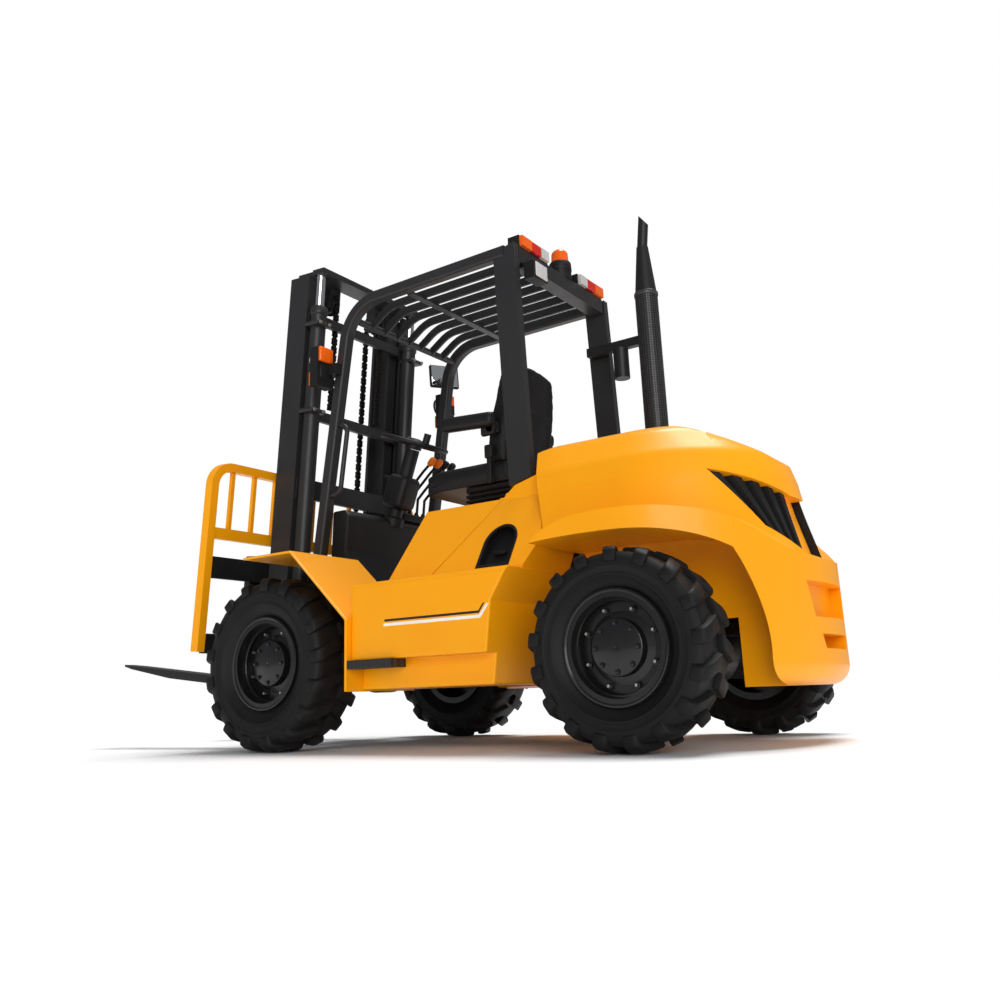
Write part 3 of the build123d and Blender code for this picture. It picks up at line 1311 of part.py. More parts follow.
eye = Vector(*mast_point(TILT_EYE[0], TILT_HALF, TILT_EYE[1]))
base = Vector(TILT_BASE[0], TILT_HALF, TILT_BASE[1])
pull = (eye - base).normalized()
TILT_EYE_HALF = 22
tilt_barrel = bar((base + pull * 58), (base + pull * TILT_BARREL_LENGTH), TILT_BARREL_RADIUS)
tilt_barrel += bar(
    (base.X, TILT_HALF - TILT_EYE_HALF, base.Z),
    (base.X, TILT_HALF + TILT_EYE_HALF, base.Z),
    TILT_EYE_RADIUS,
)
tilt_barrel += bar((base + pull * 30), (base + pull * 66), 22)
tilt_barrel -= bar((base.X, 0, base.Z), (base.X, 2 * TILT_HALF, base.Z), TILT_PIN_RADIUS + FIT)
tilt_barrel -= bar((base + pull * 80), (base + pull * 600), TILT_ROD_RADIUS + FIT)
keep("tilt_barrels", *both(tilt_barrel))
tilt_rod = bar((base + pull * 250), (eye - pull * 34), TILT_ROD_RADIUS)
tilt_rod += bar(
    (eye.X, TILT_HALF - TILT_EYE_HALF, eye.Z), (eye.X, TILT_HALF + TILT_EYE_HALF, eye.Z), TILT_EYE_RADIUS,
)
tilt_rod -= bar((eye.X, 0, eye.Z), (eye.X, 2 * TILT_HALF, eye.Z), TILT_PIN_RADIUS + TILT_EYE_PLAY)
keep("tilt_rods", *both(tilt_rod))

# Origin under the middle of the overall length

whole = Compound([solid for solids in nodes.values() for solid in solids]).bounding_box()
shift = -(whole.min.X + whole.max.X) / 2
os.makedirs("parts", exist_ok=True)
for name, solids in nodes.items():
    placed = [Pos(shift, 0, 0) * solid for solid in solids]
    export_step(placed[0] if len(placed) == 1 else Compound(placed), f"parts/{name}.step")
print("nodes", len(nodes), "shift", round(shift, 3), "size", whole.size)
print("mast pin", MAST_PIN[0] + shift, MAST_PIN[1], "tilt base", TILT_BASE[0] + shift, TILT_BASE[1])
print("pull", pull, "eye", eye)
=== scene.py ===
# %% [markdown]
# # Dressing a rough terrain forklift
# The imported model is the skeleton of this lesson: every frame, wheel and rail is already in its place, in
# metres. Here the truck gets its finishes, and the pieces that are easier to draw as meshes than as solids.

import json
from math import cos, pi, radians, sin, tan

import bmesh
import bpy
from mathutils import Matrix, Vector


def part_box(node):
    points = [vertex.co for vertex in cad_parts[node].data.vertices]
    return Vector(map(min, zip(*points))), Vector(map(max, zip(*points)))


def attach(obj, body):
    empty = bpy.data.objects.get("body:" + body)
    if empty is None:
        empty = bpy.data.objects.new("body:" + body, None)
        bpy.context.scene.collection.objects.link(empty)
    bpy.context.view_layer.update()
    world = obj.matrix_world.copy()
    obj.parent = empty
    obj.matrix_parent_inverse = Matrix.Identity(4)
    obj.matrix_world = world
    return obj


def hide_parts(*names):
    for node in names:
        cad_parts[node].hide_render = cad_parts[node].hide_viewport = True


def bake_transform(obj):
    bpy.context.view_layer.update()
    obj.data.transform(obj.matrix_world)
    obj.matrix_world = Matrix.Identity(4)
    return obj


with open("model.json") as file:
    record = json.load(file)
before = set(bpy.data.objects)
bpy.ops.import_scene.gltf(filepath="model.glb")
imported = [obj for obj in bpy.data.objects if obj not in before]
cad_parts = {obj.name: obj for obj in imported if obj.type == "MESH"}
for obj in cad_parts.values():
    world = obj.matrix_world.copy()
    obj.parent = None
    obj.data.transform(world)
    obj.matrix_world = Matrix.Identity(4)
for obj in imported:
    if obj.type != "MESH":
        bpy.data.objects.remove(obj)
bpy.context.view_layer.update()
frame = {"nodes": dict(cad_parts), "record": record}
nodes = frame["nodes"]

# %% [markdown]
# ## Stations and heights
# A side drawing of a truck gives stations ahead of the rear axle and heights above the ground, in
# millimetres. The lesson keeps to that. at() turns such a place into the frame's metres. The mast leans
# back on its pin, so mast_at() takes a distance ahead of the pin and a distance along the rails. stand() is
# a place where a piece isn't turned, facing() one whose own Z axis looks in a direction, and shift() and
# turn() move on from there.

# %% Places
MM = 0.001
axle_low, axle_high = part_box("rear_axle")
AXLE_X = (axle_low.x + axle_high.x) / 2
WHEELBASE = 1870
MAST_PIN = (WHEELBASE + 250, 430)
MAST_LEAN = radians(4.5)
ACROSS = Vector((0, 1, 0))
UP = Vector((0, 0, 1))


def at(station, y, height):
    return Vector((AXLE_X + station * MM, y * MM, height * MM))


def mast_at(ahead, y, along):
    x = MAST_PIN[0] + ahead * cos(MAST_LEAN) - along * sin(MAST_LEAN)
    z = MAST_PIN[1] + ahead * sin(MAST_LEAN) + along * cos(MAST_LEAN)
    return at(x, y, z)


def stand(station, y, height):
    return Matrix.Translation(at(station, y, height))


def facing(origin, direction):
    return Matrix.Translation(origin) @ Vector(direction).to_track_quat("Z", "Y").to_matrix().to_4x4()


def shift(x, y, z):
    return Matrix.Translation((x * MM, y * MM, z * MM))


def turn(axis, degrees):
    return Matrix.Rotation(radians(degrees), 4, axis)


print("rear axle at x =", round(AXLE_X, 4))

# %% [markdown]
# ## The camera
# The photographer knelt behind the truck's left rear wheel and tipped the camera up a little. The same
# place, turn and lens give the same picture, so they come first: every later choice is judged through this
# view. The picture was cropped off centre, which the two shift values repeat.

# %% Camera
CAMERA_SPOT = (-1689.7, 4061.7, 221.1)
YAW = radians(35.1)
PITCH = radians(14.56)
ROLL = radians(-1.91)
forward = Vector((sin(YAW) * cos(PITCH), -cos(YAW) * cos(PITCH), sin(PITCH)))
right = forward.cross(UP).normalized()
level = Matrix((right, right.cross(forward), -forward)).transposed()
lens = bpy.data.cameras.new("photographer")
lens.sensor_width = 36
lens.lens = 34.07
lens.shift_x = 0.0194
lens.shift_y = -0.0483
camera = bpy.data.objects.new("photographer", lens)
bpy.context.collection.objects.link(camera)
camera.matrix_world = stand(*CAMERA_SPOT) @ (level @ Matrix.Rotation(ROLL, 3, "Z")).to_4x4()
bpy.context.scene.camera = camera
print("camera looks along", [round(v, 3) for v in forward])

# %% [markdown]
# ## Small tools
# A colour is written as the hex code that a paint program shows; Blender's sockets want it in linear light.
# A pattern's Scale counts its cells in a metre, so every(9) draws one each 9 mm. add() makes one shader
# node with its settings and links; the stops of a colour ramp are a setting too. start() opens a material
# and hands over its parts.

# %% Tools for materials
def linear(code):
    levels = [int(code[i:i + 2], 16) / 255 for i in (1, 3, 5)]
    return (*[v / 12.92 if v <= 0.04045 else ((v + 0.055) / 1.055) ** 2.4 for v in levels], 1.0)


def every(millimetres):
    return 1000 / millimetres


def add(tree, kind, settings=(), links=()):
    node = tree.nodes.new(kind)
    for name, value in dict(settings).items():
        if name == "stops":
            for element, (position, code) in zip(node.color_ramp.elements, value):
                element.position = position
                element.color = linear(code)
        elif name in node.bl_rna.properties:
            setattr(node, name, value)
        else:
            node.inputs[name].default_value = value
    for name, source in dict(links).items():
        tree.links.new(source, node.inputs[name])
    return node


def start(name, colour, **sockets):
    material = bpy.data.materials.new(name)
    material.use_nodes = True
    tree = material.node_tree
    shader = tree.nodes["Principled BSDF"]
    shader.inputs["Base Color"].default_value = linear(colour)
    for socket, value in sockets.items():
        shader.inputs[socket.replace("_", " ")].default_value = value
    place = add(tree, "ShaderNodeTexCoord").outputs["Object"]
    return material, tree, shader, place


print("tools ready")

# %% [markdown]
# A mesh piece is drawn in a bmesh, cleaned, and handed to the body that it moves with. paint() gives the
# faces that are new since a step began their material slot.

# %% Tools that make a piece
def new_object(name, mesh):
    made = bpy.data.objects.new(name, mesh)
    bpy.context.collection.objects.link(made)
    return made


def piece(name, bm, finishes, body, sharp=35):
    bmesh.ops.remove_doubles(bm, verts=bm.verts, dist=1e-6)
    bmesh.ops.recalc_face_normals(bm, faces=bm.faces)
    for face in bm.faces:
        face.smooth = True
    mesh = bpy.data.meshes.new(name)
    bm.to_mesh(mesh)
    bm.free()
    mesh.set_sharp_from_angle(angle=radians(sharp))
    for finish in finishes:
        mesh.materials.append(finish)
    made = new_object(name, mesh)
    if body:
        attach(made, body)
    print(f"{name}: {len(mesh.polygons)} faces")
    return made


def paint(bm, before, slot):
    for face in bm.faces:
        if face not in before:
            face.material_index = slot


def mirrored(bm):
    whole = bm.verts[:] + bm.edges[:] + bm.faces[:]
    bmesh.ops.mirror(bm, geom=whole, matrix=Matrix(), merge_dist=-1, axis="Y")


print("piece tools ready")

# %% [markdown]
# Four shapes come back again and again. lathe() turns a profile of (radius, distance along the axis) about
# an axis, as a potter or a turner would. prism() lifts a flat outline into a plate. slab() is a block with
# rounded edges, and bolt() is a hexagon head on a washer. Other shapes are a row of rings: ring() joins
# points into one, and skin() bridges each to the next and caps the ends that are asked for.

# %% Tools for shapes
def round_off(bm, edges, rounding, segments=2):
    bmesh.ops.bevel(
        bm, geom=list(edges), offset=rounding * MM, segments=segments, profile=0.5, affect="EDGES",
        material=-1,
    )


def ring(bm, spots):
    return [bm.edges.new(pair) for pair in zip(spots, spots[1:] + spots[:1])]


def skin(bm, rings, *ends):
    for near, far in zip(rings, rings[1:]):
        bmesh.ops.bridge_loops(bm, edges=near + far)
    for end in ends:
        bmesh.ops.contextual_create(bm, geom=rings[end])


def lathe(bm, place, profile, steps=48, slot=0):
    before = set(bm.faces)
    spots = [bm.verts.new(place @ Vector((radius * MM, 0, along * MM))) for radius, along in profile]
    edges = [bm.edges.new(pair) for pair in zip(spots, spots[1:])]
    bmesh.ops.spin(
        bm, geom=spots + edges, cent=place.translation, axis=place.col[2].xyz,
        angle=2 * pi, steps=steps, use_merge=True,
    )
    paint(bm, before, slot)


def prism(bm, outline, lift, slot=0):
    before = set(bm.faces)
    base = bm.faces.new([bm.verts.new(spot) for spot in outline])
    lifted = bmesh.ops.extrude_face_region(bm, geom=[base], use_keep_orig=True)
    tops = [part for part in lifted["geom"] if isinstance(part, bmesh.types.BMVert)]
    bmesh.ops.translate(bm, verts=tops, vec=lift)
    paint(bm, before, slot)


def slab(bm, place, size, rounding, slot=0, segments=3):
    before = set(bm.faces)
    grown = place @ Matrix.Diagonal((*[s * MM for s in size], 1))
    made = bmesh.ops.create_cube(bm, size=1, matrix=grown)
    round_off(bm, {edge for vert in made["verts"] for edge in vert.link_edges}, rounding, segments)
    paint(bm, before, slot)


def bolt(bm, place, radius, height, slot=0):
    before = set(bm.faces)
    bmesh.ops.create_cone(
        bm, cap_ends=True, segments=16, radius1=radius * 1.4 * MM, radius2=radius * 1.35 * MM,
        depth=height * 0.2 * MM, matrix=place @ shift(0, 0, height * 0.1),
    )
    head = bmesh.ops.create_cone(
        bm, cap_ends=True, segments=6, radius1=radius * MM, radius2=radius * MM,
        depth=height * 0.8 * MM, matrix=place @ shift(0, 0, height * 0.6),
    )
    rims = {edge for vert in head["verts"] for edge in vert.link_edges if edge.calc_face_angle(0) > 1.2}
    round_off(bm, rims, radius * 0.1)
    paint(bm, before, slot)


print("shape tools ready")

# %% [markdown]
# ## The studio
# A catalogue picture has a white floor without a horizon. Light that comes evenly from everywhere looks
# flat, so a broad soft sun stands overhead and a weaker one low behind the photographer. What the camera
# sees as sky is pure white, while the sky that lights the truck is dimmer: that keeps the underside and the
# floor below it dark.

# %% Floor
bm = bmesh.new()
bmesh.ops.create_grid(bm, x_segments=1, y_segments=1, size=60)
floor_mesh = bpy.data.meshes.new("studio_floor")
bm.to_mesh(floor_mesh)
bm.free()
floor = new_object("studio_floor", floor_mesh)
paper, tree, shader, place = start("white_paper", "#F8F8F8", Roughness=0.95)
grain = add(tree, "ShaderNodeTexNoise", {"Scale": every(40)}, {"Vector": place})
dent = add(tree, "ShaderNodeBump", {"Strength": 0.02}, {"Height": grain.outputs["Fac"]})
tree.links.new(dent.outputs["Normal"], shader.inputs["Normal"])
floor_mesh.materials.append(paper)
print("floor ready")

# %% [markdown]
# The world has two backgrounds: one for the eye and one for the light. A Light Path node tells the two
# apart.

# %% Sky and suns
world = bpy.data.worlds.new("studio")
world.use_nodes = True
tree = world.node_tree
seen = tree.nodes["Background"]
seen.inputs["Color"].default_value = linear("#FFFFFF")
lit = add(tree, "ShaderNodeBackground", {"Color": linear("#F6F8FF"), "Strength": 0.24})
path = add(tree, "ShaderNodeLightPath")
mix = add(
    tree, "ShaderNodeMixShader",
    links={0: path.outputs["Is Camera Ray"], 1: lit.outputs[0], 2: seen.outputs[0]},
)
tree.links.new(mix.outputs[0], tree.nodes["World Output"].inputs["Surface"])
bpy.context.scene.world = world
bpy.context.scene.view_settings.view_transform = "Standard"

SUNS = [
    # name, direction towards the light, strength, spread in degrees
    ("ceiling_sun", (-0.1, -0.28, 1.0), 2.9, 30),
    ("camera_side_sun", (-0.7, 0.85, 0.22), 1.7, 40),
]
for name, towards, strength, spread in SUNS:
    lamp = bpy.data.lights.new(name, "SUN")
    lamp.energy = strength
    lamp.angle = radians(spread)
    source = bpy.data.objects.new(name, lamp)
    bpy.context.collection.objects.link(source)
    source.matrix_world = facing(Vector((0, 0, 6)), towards)
print("lights:", [name for name, *_ in SUNS])

# %% [markdown]
# ## Enamel
# Most of the truck is steel under baked enamel. Sprayed paint dries with a fine orange-peel ripple and its
# gloss wanders a little, so three noises at different sizes drive the shade, the roughness and a very low
# bump. The ripple is really about 3 mm wide; it is drawn at 9 mm because finer wouldn't show from 5 m away.

# %% Paints
def enamel(name, colour, shade, rough, coat):
    material, tree, shader, place = start(
        name, colour, Coat_Weight=coat, Coat_Roughness=0.12, Specular_IOR_Level=0.3
    )
    cloud = add(tree, "ShaderNodeTexNoise", {"Scale": every(420), "Detail": 3.0}, {"Vector": place})
    tint = add(
        tree, "ShaderNodeValToRGB", {"stops": [(0.3, shade), (0.7, colour)]}, {"Fac": cloud.outputs["Fac"]}
    )
    tree.links.new(tint.outputs["Color"], shader.inputs["Base Color"])
    haze = add(tree, "ShaderNodeTexNoise", {"Scale": every(70), "Detail": 4.0}, {"Vector": place})
    gloss = add(
        tree, "ShaderNodeMapRange", {"To Min": rough - 0.07, "To Max": rough + 0.07},
        {"Value": haze.outputs["Fac"]},
    )
    tree.links.new(gloss.outputs["Result"], shader.inputs["Roughness"])
    peel = add(tree, "ShaderNodeTexNoise", {"Scale": every(9), "Detail": 1.0}, {"Vector": place})
    ripple = add(
        tree, "ShaderNodeBump", {"Strength": 0.03, "Distance": 0.001}, {"Height": peel.outputs["Fac"]}
    )
    tree.links.new(ripple.outputs["Normal"], shader.inputs["Normal"])
    return material


# A warm, half-gloss orange: it gives the broad soft highlights on the counterweight.
orange_enamel = enamel("baked_enamel_orange", "#FCA806", "#F9A203", 0.38, 0.08)
# Satin charcoal: the guard and mast read as dark grey, not as holes in the picture.
charcoal_enamel = enamel("satin_enamel_charcoal", "#2B2B2C", "#242425", 0.46, 0.1)
# Satin black for the chassis and forks, a shade deeper than the mast.
black_enamel = enamel("satin_enamel_black", "#1C1C1D", "#171718", 0.5, 0.1)
# Gloss black on the rims catches thin bright rings along the edges.
rim_enamel = enamel("gloss_enamel_black", "#161617", "#111112", 0.36, 0.3)
# Heat-proof paint on the stack's guard is greyer and shinier, so its holes show dark against it.
heat_enamel = enamel("heat_proof_enamel", "#3E3E40", "#363638", 0.34, 0.2)
print("paints:", [m.name for m in (orange_enamel, charcoal_enamel, black_enamel, rim_enamel, heat_enamel)])

# %% [markdown]
# ## Rubber, plastic and vinyl
# Tyre rubber is matt and picks up dust, which a cloudy noise lightens. Moulded plastic and seat vinyl come
# out of a tool with a leather grain: a Voronoi pattern of small cells, pressed in by a bump. The grain is
# really about 2 mm; at 5 to 7 mm it still shows in a picture of the whole truck. Castings are rougher, with
# 12 mm lumps.

# %% Rubber, plastic, vinyl
def grained(name, colour, dusty, rough, grain, depth):
    material, tree, shader, place = start(name, colour, Roughness=rough, Specular_IOR_Level=0.25)
    dust = add(tree, "ShaderNodeTexNoise", {"Scale": every(180), "Detail": 6.0}, {"Vector": place})
    tint = add(
        tree, "ShaderNodeValToRGB", {"stops": [(0.35, colour), (0.8, dusty)]}, {"Fac": dust.outputs["Fac"]}
    )
    tree.links.new(tint.outputs["Color"], shader.inputs["Base Color"])
    cells = add(tree, "ShaderNodeTexVoronoi", {"Scale": every(grain)}, {"Vector": place})
    press = add(
        tree, "ShaderNodeBump", {"Strength": depth, "Distance": 0.001}, {"Height": cells.outputs["Distance"]}
    )
    tree.links.new(press.outputs["Normal"], shader.inputs["Normal"])
    return material


# Rubber swallows light: only the lugs' rims and the sidewall's rings stand out.
tyre_rubber = grained("moulded_tyre_rubber", "#0C0C0C", "#171615", 0.6, 7, 0.25)
# Plastic shows a broad, weak sheen. The liner is black plastic made darker still: that extra darkness is
# painted shade, so that the niche looks like a deep pocket.
black_plastic = grained("moulded_black_plastic", "#171718", "#1F1F1F", 0.5, 5, 0.2)
liner_plastic_and_painted_shade = grained("black_liner_with_painted_shade", "#090909", "#0E0E0E", 0.6, 5, 0.1)
orange_plastic = grained("moulded_orange_plastic", "#F07A10", "#E06E0C", 0.4, 5, 0.1)
bellows_rubber = grained("moulded_bellows_rubber", "#141414", "#1E1D1C", 0.6, 6, 0.15)
# Vinyl is the softest looking of the blacks: its grain breaks the highlight up.
seat_vinyl = grained("grained_black_vinyl", "#161617", "#1F1F1F", 0.46, 5, 0.4)
# Painted castings look dull and dusty.
cast_paint = grained("painted_casting", "#242424", "#33312D", 0.65, 12, 0.5)
# Adhesive film has a soft sheen that is flatter than the paint around it. The dark strip uses the same
# finish but stands for painted shadow: the shade along the top of a crease above the white stripe.
white_film = grained("white_stripe_film", "#F4F2EA", "#EAE6DA", 0.45, 30, 0.03)
crease_shadow_paint = grained("painted_crease_shadow", "#232220", "#2B2A28", 0.45, 30, 0.03)
print("grained finishes ready")

# %% [markdown]
# Steps are cut from rolled tread plate, whose raised lozenges keep a boot from slipping. A Voronoi pattern
# without randomness, turned by 45 degrees and measured in Chebychev distance, is a lattice of such
# lozenges, 30 mm apart.

# %% Tread plate
def tread(name, colour, worn, pitch):
    material, tree, shader, place = start(name, colour, Roughness=0.5)
    askew = add(tree, "ShaderNodeMapping", {"Rotation": (0, 0, pi / 4)}, {"Vector": place})
    lattice = add(
        tree, "ShaderNodeTexVoronoi",
        {"voronoi_dimensions": "2D", "distance": "CHEBYCHEV", "Scale": every(pitch), "Randomness": 0.0},
        {"Vector": askew.outputs[0]},
    )
    apart = lattice.outputs["Distance"]
    crown = add(tree, "ShaderNodeValToRGB", {"stops": [(0.22, worn), (0.3, colour)]}, {"Fac": apart})
    tree.links.new(crown.outputs["Color"], shader.inputs["Base Color"])
    rise = add(tree, "ShaderNodeMapRange", {"From Min": 0.3, "From Max": 0.2}, {"Value": apart})
    press = add(
        tree, "ShaderNodeBump", {"Strength": 0.8, "Distance": 0.002}, {"Height": rise.outputs["Result"]}
    )
    tree.links.new(press.outputs["Normal"], shader.inputs["Normal"])
    return material


# Boots polish the crowns of the lozenges, so these are lighter than the paint between them.
tread_plate = tread("painted_tread_plate", "#1A1A1B", "#2C2C2C", 30)
print("tread plate ready")

# %% [markdown]
# ## Bright metal, glass and lamp lenses
# Hard chrome is a mirror with hair-fine turning marks. Chain is oiled steel. Lamp lenses are coloured
# acrylic with moulded ribs, which a band texture draws. The ribs are really about 8 mm apart; at 50 mm they
# still show. At a Scale of 1 the bands of that texture are a tenth of pi apart, about 0.314 m.

# %% Metals and lenses
LENS_BANDS = 6.25


def metal(name, colour, rough, mark):
    material, tree, shader, place = start(name, colour, Metallic=1.0)
    drawn = add(tree, "ShaderNodeMapping", {"Scale": (1, 1, 0.05)}, {"Vector": place})
    marks = add(
        tree, "ShaderNodeTexNoise", {"Scale": every(mark), "Detail": 3.0}, {"Vector": drawn.outputs[0]}
    )
    gloss = add(
        tree, "ShaderNodeMapRange", {"To Min": rough * 0.6, "To Max": rough * 1.4},
        {"Value": marks.outputs["Fac"]},
    )
    tree.links.new(gloss.outputs["Result"], shader.inputs["Roughness"])
    return material


def acrylic(name, colour, through):
    material, tree, shader, place = start(
        name, colour, Roughness=0.12, Transmission_Weight=through, IOR=1.49
    )
    ribs = add(tree, "ShaderNodeTexWave", {"bands_direction": "Y", "Scale": LENS_BANDS}, {"Vector": place})
    ridge = add(
        tree, "ShaderNodeBump", {"Strength": 0.35, "Distance": 0.002}, {"Height": ribs.outputs["Fac"]}
    )
    tree.links.new(ridge.outputs["Normal"], shader.inputs["Normal"])
    return material


# Chrome shows the white studio as a bright line down each rod.
hard_chrome = metal("hard_chrome", "#D8D8D8", 0.12, 6)
# Oil makes the chain dark, with small soft glints on its plates.
chain_steel = metal("oiled_chain_steel", "#3E3B38", 0.42, 6)
# Zinc is paler and duller than chrome: studs and bolts show as light dots.
zinc_steel = metal("zinc_plated_steel", "#B4B0A8", 0.35, 5)
mirror_glass = metal("silvered_glass", "#EEF1F1", 0.03, 40)
# The lenses keep their colour even without a bulb behind them.
amber_acrylic = acrylic("amber_acrylic", "#FF6A08", 0.1)
red_acrylic = acrylic("red_acrylic", "#D8200F", 0.1)
clear_acrylic = acrylic("clear_acrylic", "#E8E8E6", 0.3)
print("metals and lenses ready")

# %% [markdown]
# ## Dressing the solids
# The record gives each solid a material slot. A table from slot to finish dresses them all at once; the two
# solids that differ from their slot are in a second table.

# %% Finishes on the solids
finish_of = {
    "body_paint": orange_enamel,
    "dark_paint": charcoal_enamel,
    "frame_paint": black_enamel,
    "rim_paint": rim_enamel,
    "tyre_rubber": tyre_rubber,
    "cast_block": cast_paint,
    "chrome_rod": hard_chrome,
    "chain_steel": chain_steel,
    "seat_vinyl": seat_vinyl,
    "black_plastic": black_plastic,
    "amber_plastic": amber_acrylic,
    "clear_plastic": clear_acrylic,
    "red_plastic": red_acrylic,
    "fork_steel": black_enamel,
}
# The exhaust stack gets the chassis black instead of its slot's charcoal. The pipe has dark paint of its own,
# and the step darker is painted shade inside the perforated guard, so that the guard's holes read dark.
finish_by_node = {"tread_plates": tread_plate, "exhaust_stack": black_enamel}
for entry in frame["record"]["subparts"]:
    solid = nodes[entry["node"]]
    solid.data.materials.clear()
    solid.data.materials.append(finish_by_node.get(entry["node"], finish_of[entry["material_slot"]]))

# %% [markdown]
# ## Soft edges
# No pressed sheet or casting ends in a knife edge, and an edge without a radius catches no light. Three
# modifiers give the solids one: Weld joins the facets, Decimate in planar mode clears the triangles off
# flat faces, and Bevel rounds every edge that turns by more than 40 degrees. Weighted Normal then keeps the
# flats looking flat.

# %% Edge radii
EDGE_RADIUS = {
    # solid: radius in millimetres
    "counterweight": 9,
    "side_tanks": 7,
    "front_fenders": 5,
    "engine_hood": 9,
    "rear_side_panels": 9,
    "load_backrest": 4,
    "guard_roof": 3,
    "outer_mast": 3,
    "inner_mast": 3,
    "fork_carriage": 3,
    "forks": 3,
    "dash_cowl": 14,
    "lamp_housings": 6,
    "red_lenses": 4,
    "tread_plates": 3,
    "chassis_frame": 3,
    "stack_bracket": 3,
}
for name, radius in EDGE_RADIUS.items():
    solid = nodes[name]
    solid.modifiers.new("join", "WELD").merge_threshold = 1e-5
    flat = solid.modifiers.new("clear_flats", "DECIMATE")
    flat.decimate_type = "DISSOLVE"
    flat.angle_limit = radians(0.6)
    soft = solid.modifiers.new("edge_radius", "BEVEL")
    soft.width = radius * MM
    soft.segments = 2
    soft.limit_method = "ANGLE"
    soft.angle_limit = radians(40)
    soft.use_clamp_overlap = True
    solid.modifiers.new("even_shade", "WEIGHTED_NORMAL").keep_sharp = True
print("rounded edges on", len(EDGE_RADIUS), "solids")

# %% [markdown]
# ## Tyres
# A traction tyre is a smooth carcass with a herringbone of thick rubber lugs. The solids keep their tyres
# plain, so here they are drawn in full. The carcass is turned from one profile that holds the bead, the
# sidewall with its two moulded rings, and the tread floor.

# %% Carcass
TREAD_DEPTH = 26
LUG_FOOT = 0.83
FLANGE_RADIUS = 221
WHEELS = [
    # end of the truck, station, track from the middle, radius, width, bead from the tyre's middle, rim's face
    ("front", WHEELBASE, 753, 415, 305, 108, 120),
    ("rear", 0, 726, 388, 264, 89, 101),
]
SIDES = [("left", 1), ("right", -1)]


def carcass_profile(radius, width, bead):
    floor = radius - TREAD_DEPTH
    drop = LUG_FOOT * radius
    flank = (drop + FLANGE_RADIUS) / 2
    bulge = 0.452 * width
    half = [
        (floor, 0.3 * width), (floor - 5, 0.4 * width), (floor - 16, 0.44 * width),
        ((drop + floor) / 2 - 8, 0.461 * width), (drop - 8, 0.469 * width), (drop - 18, 0.471 * width),
        (drop - 21, 0.463 * width), (flank + 8, 0.46 * width), (flank + 6, 0.468 * width),
        (flank - 3, 0.466 * width), (flank - 6, bulge), (252, bead + 0.6 * (bulge - bead)),
        (240, bead + 9), (231, bead + 4), (225, bead), (222.6, bead - 2), (206, bead - 2),
    ]
    return half + [(r, -along) for r, along in reversed(half)] + half[:1]


print("points of a carcass:", len(carcass_profile(415, 305, 108)))

# %% [markdown]
# One lug is bridged from section to section, from the groove in the middle of the tread to its foot on the
# sidewall. Each section has a crown and a wider root. The rims of the crown are rounded, and a spin with
# duplicates sets the lug round the wheel. The lugs of the two sides are staggered by half a pitch.

# %% Lugs
LUG_COUNT = 17
LUG_PITCH = pi / LUG_COUNT
LUG_SKEW = radians(24)
LUG_ROUNDING = 7
GROOVE_HALF = 10
CROWN_SHARES = (0.1, 0.9)
ROOT_SHARES = (0.97, 0.03)


def lug_rows(radius, width):
    floor = radius - TREAD_DEPTH
    return [
        # crown and root of the lug, each as distance from the tyre's middle and radius
        ((GROOVE_HALF, radius), (GROOVE_HALF, floor - 6)),
        ((0.3 * width, radius - 2), (0.3 * width, floor - 8)),
        ((0.42 * width, 0.982 * radius), (0.4 * width, floor - 16)),
        ((0.49 * width, 0.945 * radius), (0.432 * width, floor - 26)),
        ((0.5 * width, 0.89 * radius), (0.45 * width, 0.885 * radius)),
        ((0.497 * width, LUG_FOOT * radius), (0.455 * width, (LUG_FOOT - 0.005) * radius)),
    ]


def lug_ring(bm, station, y_middle, side, radius, width, column):
    def spot(row, share):
        lag = tan(LUG_SKEW) * (row[0] - GROOVE_HALF) / radius
        angle = LUG_PITCH * (column + share) + lag - pi / 2
        x = station + row[1] * cos(angle)
        z = radius + row[1] * sin(angle)
        return bm.verts.new(at(x, y_middle + side * row[0], z))

    before = set(bm.verts)
    crowns = []
    rings = []
    for crown, root in lug_rows(radius, width):
        top = [spot(crown, share) for share in CROWN_SHARES]
        crowns += top
        rings.append(ring(bm, top + [spot(root, share) for share in ROOT_SHARES]))
    skin(bm, rings, 0, -1)
    made = [vert for vert in bm.verts if vert not in before]
    faces = {face for vert in made for face in vert.link_faces}
    bmesh.ops.recalc_face_normals(bm, faces=list(faces))
    rims = {
        edge for vert in crowns for edge in vert.link_edges
        if edge.other_vert(vert) in crowns and edge.calc_face_angle(0) > 0.7
    }
    round_off(bm, rims, LUG_ROUNDING)
    made = [vert for vert in bm.verts if vert not in before]
    edges = {edge for vert in made for edge in vert.link_edges}
    faces = {face for vert in made for face in vert.link_faces}
    bmesh.ops.spin(
        bm, geom=made + list(edges) + list(faces), cent=at(station, y_middle, radius), axis=ACROSS,
        angle=2 * pi * (LUG_COUNT - 1) / LUG_COUNT, steps=LUG_COUNT - 1, use_duplicate=True,
    )


for end, station, track, radius, width, bead, face in WHEELS:
    for hand, side in SIDES:
        bm = bmesh.new()
        for half, column in ((1, 0), (-1, 1)):
            lug_ring(bm, station, side * track, side * half, radius, width, column)
        axle = facing(at(station, side * track, radius), (0, side, 0))
        lathe(bm, axle, carcass_profile(radius, width, bead), 96)
        tyre = piece(f"{end}_tyre_{hand}_rubber", bm, [tyre_rubber], f"{end}_wheel_{hand}")
        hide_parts(f"{end}_tyre_{hand}")

# %% [markdown]
# ## Hubs, rims and nuts
# A rim shows a rolled lip, a gutter and a dished disc with a ring of nuts; in its middle sits a turned
# cover. All of it is round, so it is turned on the axle's line. Only the nuts are hexagons; their plated
# studs stay bright.

